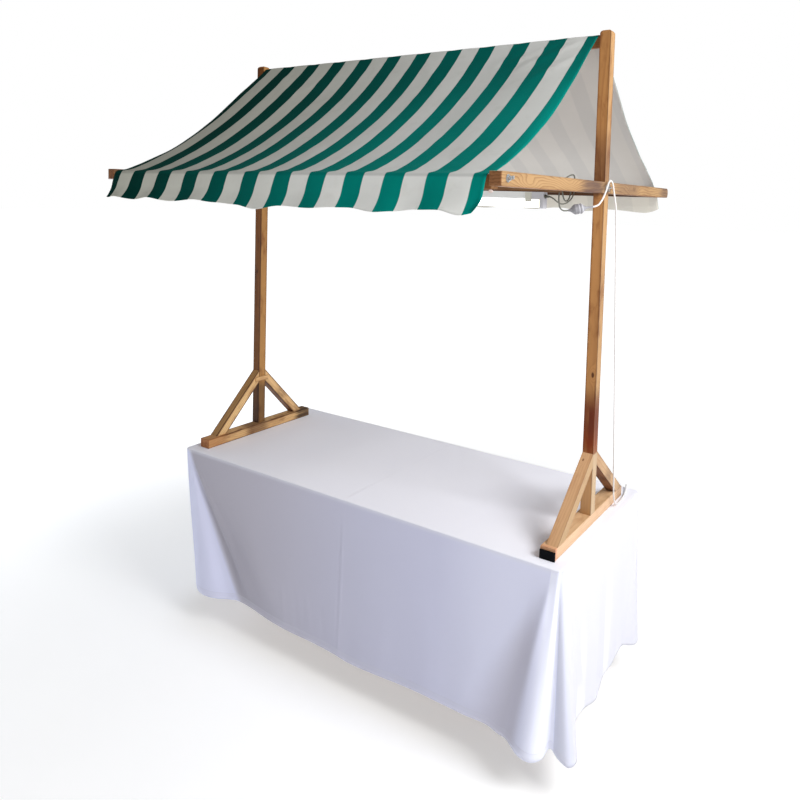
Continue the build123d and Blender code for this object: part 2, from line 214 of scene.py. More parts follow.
def wood(node, axis, light, dark, seed=0.0, pith=(0.05, -0.035), ring=0.0075, knots=(), burns=(), faces=(), contrast=0.4, tone=0.2, blotch=0.5, arris=0.3, rough=0.5):
    """Sawn and scorched softwood for one straight piece. axis is the grain's direction; ring the spacing of the year
    rings.
    Positions are in metres from the piece's middle: a along the grain, b and c across it. knots are (a, b, c, radius,
    darkness);
    burns are (from, to, softness, colour, strength) along the grain; faces are (which, colour factor): painted light
    and shade, one face made lighter or darker for the light that falls on it."""
    m = Nodes("wood_" + node)
    a = Vector(axis).normalized()
    b = Vector((1, 0, 0)) if abs(a.z) > 0.9 else Vector((0, 0, 1)).cross(a).normalized()
    c = a.cross(b)
    o = NODES[node]
    co = np.array([tuple(o.matrix_world @ v.co) for v in o.data.vertices])
    if max(abs(v) for v in a) < 0.99:
        # a leaning piece: its true direction is that of its long arrises
        run = [co[e.vertices[1]] - co[e.vertices[0]] for e in o.data.edges]
        far = max(float(np.linalg.norm(d)) for d in run)
        run = np.array([d / np.linalg.norm(d) for d in run if np.linalg.norm(d) > 0.5 * far])
        votes = (np.abs(run @ run.T) > 0.999995).sum(axis=1)
        best = run[int(votes.argmax())]
        a = Vector(best * (1.0 if float(best @ np.array(a)) > 0 else -1.0)).normalized()
        b = Vector((-1.0 if b[0] < 0 else 1.0, 0.0, 0.0))
        c = a.cross(b)
    ext = [(float((co @ np.array(e)).min()), float((co @ np.array(e)).max())) for e in (a, b, c)]
    ha, hb, hc = [(e[1] - e[0]) / 2 for e in ext]
    mid_p = sum(((e[0] + e[1]) / 2 * v for e, v in zip(ext, (a, b, c))), Vector((0, 0, 0)))
    p0 = m.vmath("SUBTRACT", m.object_co(), tuple(mid_p))
    xa, yb, zc = m.vmath("DOT_PRODUCT", p0, tuple(a)), m.vmath("DOT_PRODUCT", p0, tuple(b)), m.vmath("DOT_PRODUCT", p0, tuple(c))
    q = m.combine(m.math("ADD", xa, seed * 3.17), m.math("ADD", yb, seed), m.math("SUBTRACT", zc, seed * 0.7))
    slow = m.noise(m.vmath("MULTIPLY", q, (1.3, 5.0, 5.0)), 1.0, 2.0)
    slow2 = m.noise(m.vmath("MULTIPLY", q, (4.5, 16.0, 16.0)), 1.0, 3.0)
    drift = m.math("MULTIPLY_ADD", slow, 0.11, -0.055)
    wob = m.math("MULTIPLY_ADD", slow2, 0.022, -0.011)
    y1 = m.math("ADD", m.math("ADD", yb, pith[0]), drift)
    z1 = m.math("ADD", m.math("ADD", zc, pith[1]), wob)
    r = m.math("SQRT", m.math("ADD", m.math("MULTIPLY", y1, y1), m.math("MULTIPLY", z1, z1)))
    r = m.math("ADD", r, wob)
    knot_mask, halo = None, None
    for kx, ky, kz, kr, kd in knots:
        e = m.vmath("SUBTRACT", m.combine(xa, yb, zc), (kx, ky, kz))
        e = m.vmath("MULTIPLY", e, (0.5, 1.0, 1.0))
        dist = m.math("DIVIDE", m.vmath("LENGTH", e), kr)
        pull = m.math("POWER", 2.718, m.math("MULTIPLY", m.math("MULTIPLY", dist, dist), -0.22))
        r = m.math("MULTIPLY_ADD", pull, ring * 3.2, r)
        h = m.math("MULTIPLY", pull, 0.75)
        halo = h if halo is None else m.math("MAXIMUM", halo, h)
        if kd:
            k = m.smooth(m.math("ADD", dist, m.math("MULTIPLY_ADD", slow2, 0.5, -0.25)), 1.2, 0.6, 0.0, kd)
            knot_mask = k if knot_mask is None else m.math("MAXIMUM", knot_mask, k)
    t = m.math("FRACT", m.math("DIVIDE", r, ring))
    late = m.ramp(t, [(0.0, 0.08), (0.14, 0.0), (0.5, 0.20), (0.78, 0.80), (0.90, 1.0), (1.0, 0.08)])
    fibre = m.noise(m.vmath("MULTIPLY", q, (22.0, 900.0, 900.0)), 1.0, 3.0, 0.6)
    streak = m.noise(m.vmath("MULTIPLY", q, (2.6, 95.0, 95.0)), 1.0, 3.0, 0.6)
    patch = m.noise(m.vmath("MULTIPLY", q, (3.4, 10.0, 10.0)), 1.0, 4.0, 0.6)
    smear = m.noise(m.vmath("MULTIPLY", q, (8.5, 26.0, 26.0)), 1.0, 4.0, 0.62)
    f = m.math("MULTIPLY", late, contrast)
    if halo is not None:
        f = m.math("MULTIPLY", f, m.math("SUBTRACT", 1.0, m.math("MULTIPLY", halo, 0.35)))
    f = m.math("ADD", f, m.math("MULTIPLY_ADD", fibre, 0.26, -0.13))
    f = m.math("ADD", f, m.math("MULTIPLY_ADD", streak, 0.30, -0.15))
    f = m.math("ADD", f, m.math("MULTIPLY_ADD", patch, tone * 2, 0.18 - tone), clamp=True)
    mid = tuple(l * 0.62 + d * 0.38 for l, d in zip(light, dark))
    col = m.ramp(f, [(0.0, light), (0.5, mid), (1.0, dark)])
    # the flame has browned it in soft patches
    brown = m.smooth(m.math("ADD", smear, m.math("MULTIPLY_ADD", patch, 0.5, -0.25)), 0.50, 0.72, 0.0, blotch)
    col = m.mix(brown, col, tuple(v * k for v, k in zip(dark, (1.0, 0.86, 0.78))))
    # and darkened its corners
    eb = m.math("DIVIDE", m.math("ABSOLUTE", yb), hb)
    ec = m.math("DIVIDE", m.math("ABSOLUTE", zc), hc)
    corner = m.smooth(m.math("ADD", m.math("MINIMUM", eb, ec), m.math("MULTIPLY_ADD", smear, 0.5, -0.25)), 0.62, 1.0, 0.0, arris)
    col = m.mix(corner, col, tuple(v * k for v, k in zip(dark, (0.42, 0.34, 0.32))))
    for b0, b1, soft, bcol, bs in burns:
        along = m.math("ADD", xa, m.math("MULTIPLY_ADD", streak, soft * 1.6, -soft * 0.8))
        mask = m.math("MULTIPLY", m.smooth(along, b0 - soft, b0 + soft), m.smooth(along, b1 - soft, b1 + soft, 1.0, 0.0))
        mask = m.math("MULTIPLY", mask, m.smooth(m.math("ADD", m.math("MULTIPLY", streak, 0.7), m.math("MULTIPLY", smear, 0.3)), 0.30, 0.58, 0.55, 1.0))
        col = m.mix(m.math("MULTIPLY", mask, bs), col, bcol)
    if knot_mask is not None:
        col = m.mix(knot_mask, col, (dark[0] * 0.34, dark[1] * 0.26, dark[2] * 0.22))
    # painted light and shade: each listed face is made lighter or darker by its colour factor, for the light that falls
    # on it
    for which, factor in faces:
        coord, h = {"a": (xa, ha), "b": (yb, hb), "c": (zc, hc)}[which[1]]
        if which[0] == "-":
            coord = m.math("MULTIPLY", coord, -1.0)
        col = m.mix(m.smooth(coord, h - 0.0022, h - 0.0006), col, factor, "MULTIPLY") if max(factor) <= 1 else m.mix(m.smooth(coord, h - 0.0022, h - 0.0006), col, m.vmath("MULTIPLY", col, factor))
    hh = m.math("ADD", m.math("MULTIPLY", late, 0.5), m.math("MULTIPLY", fibre, 0.5))
    nrm = m.bump(hh, 0.0005, 0.5)
    rg = m.math("MULTIPLY_ADD", fibre, 0.16, rough - 0.08)
    return m.finish(col, rg, nrm, IOR=1.45, Specular_IOR_Level=0.22)


def assign(node, mat):
    o = NODES[node]
    o.data.materials.clear()
    o.data.materials.append(mat)


POST, POST_D = (0.49, 0.235, 0.080), (0.18, 0.058, 0.016)
ARM, ARM_D = (0.425, 0.262, 0.122), (0.17, 0.080, 0.030)
FOOT, FOOT_D = (0.70, 0.466, 0.262), (0.40, 0.190, 0.080)
LEFT, LEFT_D = (0.765, 0.488, 0.226), (0.25, 0.105, 0.036)
CHAR = (0.030, 0.014, 0.010)
UMBER = (0.105, 0.040, 0.020)
PLUM = (0.085, 0.048, 0.042)

# faces: painted light on the right post's lit side, painted shade on the left post's front and on the arms' undersides
# and front ends
assign("right_post", wood("right_post", (0, 0, 1), POST, POST_D, 1.3, (0.02, -0.055), 0.0085, knots=((-0.35, 0.006, -0.02, 0.0055, 0.9), (0.30, -0.006, -0.02, 0.0045, 0.75)),
    burns=((0.290, 0.320, 0.012, CHAR, 0.92), (0.318, 0.420, 0.05, UMBER, 0.55), (0.395, 0.50, 0.05, UMBER, 0.45), (0.868, 0.90, 0.008, CHAR, 0.75), (-0.630, -0.44, 0.045, (0.20, 0.026, 0.000), 1.0), (-0.57, -0.42, 0.05, CHAR, 0.42), (-0.90, -0.635, 0.004, (0.58, 0.35, 0.17), 0.75)),
    faces=(("+b", (0.95, 1.18, 1.55)),), contrast=0.34, tone=0.26, blotch=0.6, arris=0.5))
assign("left_post", wood("left_post", (0, 0, 1), POST, POST_D, 7.1, (-0.03, -0.05), 0.008, knots=((-0.12, -0.004, -0.02, 0.005, 0.8),),
    burns=((0.868, 0.90, 0.008, CHAR, 0.5), (-0.90, -0.66, 0.03, CHAR, 0.6)), faces=(("-c", (0.38, 0.27, 0.09)), ("+b", (0.96, 1.03, 0.98))), contrast=0.34, tone=0.26, blotch=0.7, arris=0.6))
assign("right_arm", wood("right_arm", (0, 1, 0), ARM, ARM_D, 2.2, (-0.020, 0.052), 0.0078, knots=((-0.595, -0.02, -0.010, 0.013, 0.0), (-0.325, -0.02, 0.004, 0.016, 0.0), (0.30, -0.02, 0.004, 0.010, 0.35)),
    burns=((-0.215, -0.03, 0.055, PLUM, 0.92), (0.10, 0.34, 0.06, PLUM, 0.50), (0.66, 0.80, 0.05, PLUM, 0.65)),
    faces=(("-c", (0.80, 0.62, 0.52)), ("-a", (0.70, 0.50, 0.42))), contrast=0.62, tone=0.18, blotch=0.32, arris=0.25))
assign("left_arm", wood("left_arm", (0, 1, 0), ARM, ARM_D, 5.4, (0.030, 0.040), 0.0078, burns=((-0.80, -0.69, 0.02, UMBER, 0.72),), faces=(("-a", (1.0, 0.75, 0.55)),), contrast=0.5, tone=0.18, blotch=0.6, arris=0.4))
# faces: painted shade on the rails' fronts and undersides, darkest on the back rail as the arm's shadow, and painted
# light on their ends
for n, s in (("front_rail", 3.1), ("back_rail", 4.7), ("ridge_rail", 8.8)):
    assign(n, wood(n, (1, 0, 0), (0.50, 0.27, 0.11), (0.22, 0.085, 0.03), s, (0.03, -0.045), 0.0078, faces=(("-b", (0.15, 0.12, 0.11) if n == "back_rail" else (0.60, 0.5, 0.45)), ("-c", (0.34, 0.26, 0.22) if n == "back_rail" else (0.6, 0.5, 0.45)), ("-a", (1.15, 0.92, 0.70))), contrast=0.4, tone=0.16, blotch=0.4))
# painted shade: the lamp's lath is given a dark wood colour for the shade it stands in
assign("lamp_lath", wood("lamp_lath", (1, 0, 0), (0.23, 0.12, 0.055), (0.09, 0.04, 0.02), 9.9, (0.03, -0.045), 0.0065, contrast=0.5))
# faces: painted light and shade on single faces of the feet, sides paler or darker for the light on them, the braces'
# undersides and the left board's front end darker
for side, sx, up, fwd in (("left", -1, 0.70, 0.71), ("right", 1, 0.62, 0.78)):
    s = 11.0 if sx < 0 else 17.0
    L, D = (LEFT, LEFT_D) if sx < 0 else (FOOT, FOOT_D)
    ar, bl = (0.95, 0.60) if sx < 0 else (0.14, 0.28)
    inner = "-b" if sx < 0 else "+b"
    end_burn = ((0.225, 0.33, 0.025, CHAR, 0.92), (-0.09, 0.03, 0.03, UMBER, 0.75), (-0.34, -0.22, 0.04, (0.42, 0.17, 0.06), 0.65)) if sx < 0 else ((0.255, 0.33, 0.02, UMBER, 0.35), (-0.33, -0.30, 0.008, (0.62, 0.20, 0.10), 0.5))
    assign(side + "_foot_board", wood(side + "_foot_board", (0, 1, 0), L, D, s, (0.02, 0.05), 0.0085, burns=end_burn, faces=(("-b", (1.08, 1.14, 1.30)),) if sx > 0 else (("+b", (1.00, 0.94, 0.88)), ("-a", (0.78, 0.60, 0.48))), contrast=0.36, tone=0.20, blotch=bl, arris=ar))
    assign(side + "_front_brace", wood(side + "_front_brace", (0, fwd, up), L, D, s + 1.7, (0.03, -0.04), 0.0095, knots=((0.150, 0.007, 0.02, 0.0032, 0.85),) if sx > 0 else (), faces=(("+c", (0.60, 0.52, 0.42) if sx < 0 else (0.90, 0.82, 0.78)), ("-b", (1.08, 1.12, 1.15) if sx < 0 else (0.70, 0.70, 0.66))), contrast=0.34, tone=0.20, blotch=bl, arris=ar))
    assign(side + "_back_brace", wood(side + "_back_brace", (0, -fwd, up), L, D, s + 3.9, (0.03, 0.04), 0.0085, burns=((-0.24, -0.15, 0.03, UMBER, 0.55 if sx > 0 else 0.3), (-0.03, 0.03, 0.02, UMBER, 0.35)), faces=(("-c", (0.36, 0.24, 0.20)), ("+b", (1.04, 1.06, 1.10) if sx < 0 else (0.76, 0.76, 0.76)), ("-b", (0.76, 0.76, 0.76) if sx > 0 else (1.0, 1.0, 1.0))), contrast=0.36, tone=0.22, blotch=bl, arris=max(ar, 0.3)))
    assign(side + "_foot_tie", wood(side + "_foot_tie", (0, 1, 0), tuple(v * 1.06 for v in L), tuple(v * 1.2 for v in D), s + 5.1, (0.03, -0.04), 0.006, contrast=0.3, blotch=bl * 0.6, arris=ar * 0.6))
TABLE_L, TABLE_D = (0.66, 0.50, 0.33), (0.42, 0.27, 0.14)
for n in NODES:
    if "trestle" in n or n in ("table_top", "long_stretcher"):
        ax = (0, 0, 1) if "leg" in n else ((1, 0, 0) if n in ("table_top", "long_stretcher") else (0, 1, 0))
        assign(n, wood(n, ax, TABLE_L, TABLE_D, 20 + len(n) * 0.37, (0.05, -0.06), 0.009, contrast=0.5, blotch=0.1, arris=0.05, rough=0.62))


def steel_material():
    m = Nodes("zinc_plated_steel")
    p = m.object_co()
    n = m.noise(p, 900.0, 3.0)
    n2 = m.noise(p, 160.0, 2.0)
    col = m.ramp(n2, [(0.3, (0.40, 0.43, 0.46)), (0.7, (0.66, 0.69, 0.72))])
    return m.finish(col, m.math("MULTIPLY_ADD", n, 0.22, 0.24), m.bump(n, 0.0002, 0.4), 0.9)


STEEL = steel_material()


def rubber_material(name, base, rough=0.7, grain=0.0004, shine=0.5):
    m = Nodes(name)
    p = m.object_co()
    n = m.noise(p, 620.0, 3.0)
    n2 = m.noise(p, 45.0, 3.0)
    col = m.mix(n2, tuple(v * 0.75 for v in base), tuple(min(1, v * 1.35 + 0.004) for v in base))
    return m.finish(col, m.math("MULTIPLY_ADD", n, 0.14, rough - 0.07), m.bump(n, grain, 0.35), Specular_IOR_Level=shine)


def plastic_material(name, base, rough=0.42):
    m = Nodes(name)
    p = m.object_co()
    n = m.noise(p, 380.0, 2.0)
    n2 = m.noise(p, 24.0, 3.0)
    col = m.mix(m.math("MULTIPLY", n2, 0.5), base, tuple(v * 0.86 for v in base))
    return m.finish(col, m.math("MULTIPLY_ADD", n, 0.1, rough - 0.05), m.bump(n, 0.00015, 0.3))


def enamel_material(name, base):
    m = Nodes(name)
    p = m.object_co()
    n = m.noise(m.vmath("MULTIPLY", p, (1.0, 1.0, 1.0)), 240.0, 3.0)
    n2 = m.noise(m.vmath("MULTIPLY", p, (3.0, 20.0, 20.0)), 1.0, 3.0)
    col = m.mix(m.math("MULTIPLY", n2, 0.55), base, tuple(v * 0.84 for v in base))
    return m.finish(col, m.math("MULTIPLY_ADD", n, 0.08, 0.33), m.bump(n, 0.0003, 0.25), Coat_Weight=0.25, Coat_Roughness=0.2)


def glow_material():
    m = Nodes("glowing_tube")
    x = m.split(m.object_co())[0]
    end = m.smooth(m.math("ABSOLUTE", x), 0.70, 0.765)
    col = m.mix(end, (1.0, 1.0, 0.985), (0.93, 0.86, 0.62))
    m.finish((0.9, 0.9, 0.88), 0.25)
    m.put(m.bsdf.inputs["Emission Color"], col)
    m.put(m.bsdf.inputs["Emission Strength"], m.smooth(m.math("ABSOLUTE", x), 0.73, 0.77, 3.4, 1.2))
    return m.mat


CORD_DARK = rubber_material("dark_flex", (0.105, 0.105, 0.086), 0.6)
CORD_WHITE = plastic_material("white_flex", (0.74, 0.72, 0.71), 0.42)
GREY_RUBBER = rubber_material("grey_moulding", (0.235, 0.232, 0.250), 0.48)
PALE_PLASTIC = plastic_material("pale_plastic", (0.50, 0.50, 0.54), 0.35)
CLIP_PLASTIC = plastic_material("clip_plastic", (0.56, 0.56, 0.50), 0.22)
BLUSH_PLASTIC = plastic_material("blush_plastic", (0.72, 0.60, 0.56), 0.4)
HOLDER_GREY = enamel_material("holder_enamel", (0.50, 0.50, 0.54))
LAMP_GREY = enamel_material("lamp_enamel", (0.70, 0.72, 0.72))
CAP_BLACK = rubber_material("cap_rubber", (0.0015, 0.0022, 0.004), 0.65, shine=0.06)
GLOW = glow_material()

assign("right_foot_end_cap", CAP_BLACK)
for n in NODES:
    if "wing_nut" in n:
        assign(n, STEEL)
assign("lamp_clips", CLIP_PLASTIC)
assign("lamp_batten", LAMP_GREY)
assign("lamp_holder_left", HOLDER_GREY)
assign("lamp_holder_right", HOLDER_GREY)
assign("lamp_gland", CORD_DARK)
assign("lamp_tube", GLOW)
assign("supply_plug", CORD_WHITE)


# -------------------------------------------------------------------- cords
def cord_curve(name, points, radius, mat):
    cu = bpy.data.curves.new(name, "CURVE")
    cu.dimensions = "3D"
    sp = cu.splines.new("NURBS")
    sp.points.add(len(points) - 1)
    for p, q in zip(sp.points, points):
        p.co = (q[0] / 1000, q[1] / 1000, q[2] / 1000, 1.0)
    sp.order_u = 3
    sp.use_endpoint_u = True
    sp.resolution_u = 8
    cu.bevel_depth = radius
    cu.bevel_resolution = 5
    cu.use_fill_caps = True
    cu.materials.append(mat)
    o = bpy.data.objects.new(name, cu)
    COLL.objects.link(o)
    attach(o, "root")
    return o


GLAND = (787.0, -300.0, 1909.0)
CONN_A = Vector((822, -208, 1866))
CONN_B = Vector((890, -161, 1881))
UA = (CONN_B - CONN_A).normalized()
LAMP_ROUTE = [
    GLAND,
    (798.5, -300, 1909),
    (810, -299, 1903.5),
    (819.5, -292, 1893.5),
    (825, -276, 1886.5),
    (827, -250, 1887),
    (828, -221, 1894),
    (826, -190, 1906),
    (823.5, -168, 1923),
    (822.5, -158, 1944),
    (822.5, -161, 1963),
    (827, -176, 1979),
    (834, -202, 1984),
    (835, -231, 1981),
    (828, -252, 1970),
    (823, -261, 1952),
    (822, -261, 1934),
    (821, -252, 1914),
    (817, -231, 1900),
    (813, -203, 1895),
    (810, -177, 1903),
    (809, -162, 1921),
    (810, -161, 1943),
    (812, -173, 1963),
    (813, -196, 1974),
    (814, -221, 1973),
    (815, -242, 1961),
    (815, -254, 1942),
    (812, -260, 1922),
    (809, -257, 1904),
    (806, -246, 1889),
    (802, -233, 1877),
    (804.5, -222.5, 1868),
    tuple(CONN_A - 12 * UA),
    tuple(CONN_A),
]
lamp_flex = cord_curve("lamp_flex", LAMP_ROUTE, 0.0023, CORD_DARK)
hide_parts("lamp_lead")

SUPPLY_ROUTE = [
    tuple(CONN_B),
    tuple(CONN_B + 14 * UA),
    (908, -143, 1895),
    (909, -122, 1910),
    (905, -93, 1928),
    (898, -59, 1947),
    (890, -26, 1964),
    (886, -2, 1974),
    (886, 17, 1972),
    (886, 31, 1959),
    (886, 41, 1938),
    (887, 52, 1911),
    (888, 67, 1875),
    (888.1, 70.7, 1836.2),
    (889.9, 167.6, 824.9),
    (890, 170, 800),
    (890.5, 175, 776),
    (891, 186, 757),
    (891.5, 204, 746.5),
    (891, 232, 743.2),
    (889, 272, 743.1),
    (884, 314, 743.4),
    (876, 354, 745),
    (867, 388, 750),
    (860, 411, 748),
    (855, 427, 733),
    (851.5, 435, 708),
    (848.5, 437, 668),
    (844, 437.6, 592),
    (839.5, 438.6, 508),
    (835.5, 440.2, 424),
    (832, 442.4, 340),
    (829.5, 445.2, 256),
    (827.5, 448.8, 172),
    (825.6, 454, 112),
    (824.8, 459, 74),
    (824.2, 466, 43),
    (824, 476, 20),
    (824, 489, 7),
    (824.2, 502, 3.06),
    (824.2, 512, 3.06),
]
# the put-away length: two and a half turns on the floor, as more points of the same line
COIL_C = (785.0, 535.0)
COIL_TURNS = [
    (0, 39.2, 3.1), (30, 38.9, 3.1), (60, 38.2, 3.0), (90, 37.3, 3.0), (120, 36.2, 3.0), (150, 34.8, 3.0),
    (180, 33.4, 3.0), (210, 32.9, 3.0), (240, 32.6, 3.0), (270, 32.4, 3.0), (300, 32.3, 3.0), (330, 32.2, 3.0),
    (360, 32.0, 3.1), (390, 31.6, 3.4), (420, 31.2, 4.2), (450, 30.9, 5.6), (480, 31.0, 7.2), (510, 31.4, 8.6),
    (540, 31.9, 9.3), (570, 32.4, 9.4), (600, 32.8, 9.4), (630, 33.1, 9.4), (660, 33.4, 9.4), (690, 33.7, 9.4),
    (720, 34.2, 9.4), (750, 35.0, 9.4), (780, 36.0, 9.4), (810, 37.1, 9.3), (840, 38.1, 9.0), (870, 38.8, 8.4),
]
for deg, rad, z in COIL_TURNS:
    t = math.radians(deg)
    SUPPLY_ROUTE.append((COIL_C[0] + rad * math.cos(t), COIL_C[1] + rad * math.sin(t), z))
SUPPLY_ROUTE += [(746.1, 535, 8.2), (746, 521, 10.2), (746, 508, 12.4)]
supply_flex = cord_curve("supply_flex", SUPPLY_ROUTE, 0.003, CORD_WHITE)
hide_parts("supply_lead", "supply_lead_coil")


def new_mesh(name, verts, faces, mats, face_mat=None, smooth=True, uvs=None):
    me = bpy.data.meshes.new(name)
    me.from_pydata([tuple(v) for v in verts], [], faces)
    for m in mats:
        me.materials.append(m)
    if face_mat is not None:
        me.polygons.foreach_set("material_index", face_mat)
    if smooth:
        me.polygons.foreach_set("use_smooth", [True] * len(me.polygons))
    if uvs is not None:
        lay = me.uv_layers.new(name="cloth")
        flat = np.empty((len(me.loops), 2), np.float32)
        vi = np.empty(len(me.loops), np.int32)
        me.loops.foreach_get("vertex_index", vi)
        flat[:] = np.asarray(uvs, np.float32)[vi]
        lay.data.foreach_set("uv", flat.ravel())
    me.update()
    o = bpy.data.objects.new(name, me)
    COLL.objects.link(o)
    return o


def lathe(name, origin, axis, profile, mat, seg=32, bands=()):
    """A turned piece: profile is (along, radius) in millimetres from origin along axis."""
    axis = Vector(axis).normalized()
    e1 = axis.orthogonal().normalized()
    e2 = axis.cross(e1)
    vs, fs = [], []
    for a, r in profile:
        for k in range(seg):
            t = 2 * math.pi * k / seg
            vs.append((Vector(origin) + axis * a + (e1 * math.cos(t) + e2 * math.sin(t)) * max(r, 0.02)) / 1000)
    for i in range(len(profile) - 1):
        for k in range(seg):
            a, b = i * seg + k, i * seg + (k + 1) % seg
            fs.append((a, b, b + seg, a + seg))
    fs.append(tuple(reversed(range(seg))))
    fs.append(tuple(range((len(profile) - 1) * seg, len(profile) * seg)))
    mats = [mat] + [b[1] for b in bands]
    fm = []
    for i in range(len(profile) - 1):
        k = 0
        for j, ((b0, b1), _) in enumerate(bands):
            if b0 <= (profile[i][0] + profile[i + 1][0]) / 2 <= b1:
                k = j + 1
        fm += [k] * seg
    o = new_mesh(name, vs, fs, mats, fm + [0, 0])
    bm = bmesh.new()
    bm.from_mesh(o.data)
    bmesh.ops.recalc_face_normals(bm, faces=bm.faces)
    bm.to_mesh(o.data)
    bm.free()
    return o


# tapered sleeve where the dark lead leaves the lamp's gland, and a tie round the coil
sleeve = lathe("gland_sleeve", (786.5, -300, 1909), (1, 0, 0), [(0, 4.3), (1.2, 4.6), (3, 4.4), (4, 3.7), (5, 4.1), (6.2, 3.5), (7.2, 3.8), (8.4, 3.2), (9.4, 3.4), (10.6, 2.9), (12, 2.6)], CORD_DARK, 24)
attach(sleeve, "root")
tie_vs, tie_fs = [], []
tie_path = [(24.5, 0.3), (24.5, 6.0), (25.6, 11.2), (28.5, 13.0), (37.0, 13.0), (41.0, 11.0), (42.6, 7.0), (42.8, 0.6), (40.0, 0.05), (27.0, 0.05)]
for k, (rr, zz) in enumerate(tie_path):
    for w in (-2.6, 2.6):
        for d in (0.0, 0.5):
            cr, cz = 33.6, 6.3
            f = 1 + d / 14
            r_, z_ = cr + (rr - cr) * f, max(0.02, cz + (zz - cz) * f)
            tie_vs.append(((COIL_C[0] + w) / 1000, (COIL_C[1] + r_) / 1000, z_ / 1000))
nk = len(tie_path)
for k in range(nk):
    a, b = 4 * k, 4 * ((k + 1) % nk)
    tie_fs += [(a, a + 2, b + 2, b), (a + 1, b + 1, b + 3, a + 3), (a, b, b + 1, a + 1), (a + 2, a + 3, b + 3, b + 2)]
coil_tie = new_mesh("coil_tie", tie_vs, tie_fs, [CORD_WHITE])
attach(coil_tie, "root")

COUPLING = [(0, 2.6), (0.5, 3.3), (2.6, 3.6), (3.4, 3.1), (4.4, 4.2), (6.6, 5.0), (7.4, 4.4), (8.4, 6.0), (11, 8.0), (11.9, 7.5), (13, 9.4), (16, 12.2), (19, 14.9), (21.5, 16.5), (23.5, 17.0),
            (25.6, 17.0), (26.2, 16.4), (27.4, 16.4), (28.0, 17.0), (30.0, 17.0), (30.6, 16.4), (31.8, 16.4), (32.4, 17.0), (34.2, 16.9), (35.0, 15.7), (35.4, 16.3), (38.4, 16.5), (38.8, 15.7), (39.6, 16.8),
            (41.4, 17.2), (44.6, 17.1), (45.6, 16.0), (46.0, 16.2), (48.4, 14.8), (48.9, 14.0), (51.5, 11.8), (55, 8.6), (57.5, 6.8), (59, 5.6), (60, 4.9), (61.2, 5.1), (62.2, 4.1), (64, 4.2), (65, 3.7), (72, 3.6), (84.0, 3.3)]
coupling = lathe("coupling_body", tuple(CONN_A), tuple(UA), COUPLING, GREY_RUBBER, 40, [((35.2, 38.6), PALE_PLASTIC), ((45.7, 48.7), PALE_PLASTIC)])
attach(coupling, "root")
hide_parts("lead_coupling")
# oval fixing pads that hold the lamp's batten to its lath
for sx, n in ((-1, "left"), (1, "right")):
    pad = lathe("lamp_pad_" + n, (sx * 588.0, -313.6, 1921.5), (0, -1, 0), [(0, 8.6), (1.0, 9.0), (2.0, 8.6), (2.8, 7.2), (3.3, 4.6), (3.4, 0.3)], BLUSH_PLASTIC, 28)
    for v in pad.data.vertices:
        v.co.z = 1.9215 + (v.co.z - 1.9215) * 0.62
    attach(pad, "root")


# ------------------------------------------------------------------- canopy
def stripe_phase(m, x):
    """0 to 1 over each pair of stripes, green first; the pairs are a little wider towards the left end."""
    d = m.math("ADD", x, 0.101)
    right = m.math("DIVIDE", m.math("MAXIMUM", d, 0.0), 0.1477)
    left = m.math("DIVIDE", m.math("MINIMUM", d, 0.0), 0.152)
    return m.math("FRACT", m.math("ADD", m.math("ADD", right, left), 20.0))


def canopy_material():
    m = Nodes("canopy_stripes")
    x, y, z = m.split(m.object_co())[:3]
    p = m.object_co()
    wob = m.math("MULTIPLY_ADD", m.noise(p, 9.0, 2.0), 0.003, -0.0015)
    ph = stripe_phase(m, m.math("ADD", x, wob))
    green = m.math("SUBTRACT", m.smooth(ph, 0.0, 0.012), m.smooth(ph, 0.476, 0.488))
    cloud = m.noise(p, 3.2, 4.0, 0.55)
    cloud2 = m.noise(p, 17.0, 3.0, 0.6)
    g = m.mix(cloud, (0.000, 0.150, 0.122), (0.000, 0.215, 0.180))
    w = m.mix(cloud, (0.53, 0.53, 0.498), (0.635, 0.635, 0.617))
    w = m.mix(m.smooth(cloud2, 0.52, 0.75, 0.0, 0.20), w, (0.43, 0.415, 0.375))
    # painted shade: the whites darken towards the left end
    shade = m.smooth(x, -0.95, 0.55, 0.46, 1.0)
    # painted shade: the stripes are darkest towards the ridge and the left end, as if less light reached them there
    ridge_shade = m.smooth(m.math("MULTIPLY_ADD", x, -0.16, z), 2.05, 2.36)
    g = m.mix(m.math("MULTIPLY", ridge_shade, 0.55), g, (0.0, 0.058, 0.048))
    g = m.mix(m.smooth(x, -1.0, 0.70, 0.10, 1.0), (0.0, 0.016, 0.010), g)
    w = m.mix(shade, (0.305, 0.300, 0.210), w)
    col = m.mix(green, w, g)
    # painted light: the valances are brightened against the slopes, as if they caught more light
    valance_light = m.mix(green, m.smooth(x, -0.7, 0.5, 1.26, 1.40), m.smooth(x, -0.7, 0.55, 0.74, 1.32))
    col = m.mix(m.smooth(z, 1.956, 1.948), col, m.vmath("MULTIPLY", col, valance_light))
    u = m.uv()
    weave = m.node("ShaderNodeTexWave", {"wave_type": "BANDS", "bands_direction": "X", "wave_profile": "SIN"}, Vector=u)
    weave.inputs["Scale"].default_value = 420.0
    weave2 = m.node("ShaderNodeTexWave", {"wave_type": "BANDS", "bands_direction": "Y", "wave_profile": "SIN"}, Vector=u)
    weave2.inputs["Scale"].default_value = 420.0
    h = m.math("ADD", weave.outputs["Fac"], weave2.outputs["Fac"])
    n1 = m.bump(h, 0.00012, 0.5)
    n2 = m.bump(m.noise(p, 26.0, 3.0, 0.6), 0.0012, 0.5, n1)
    rough = m.math("MULTIPLY_ADD", cloud2, 0.16, 0.60)
    return m.finish(col, rough, n2, IOR=1.3, Specular_IOR_Level=0.08)


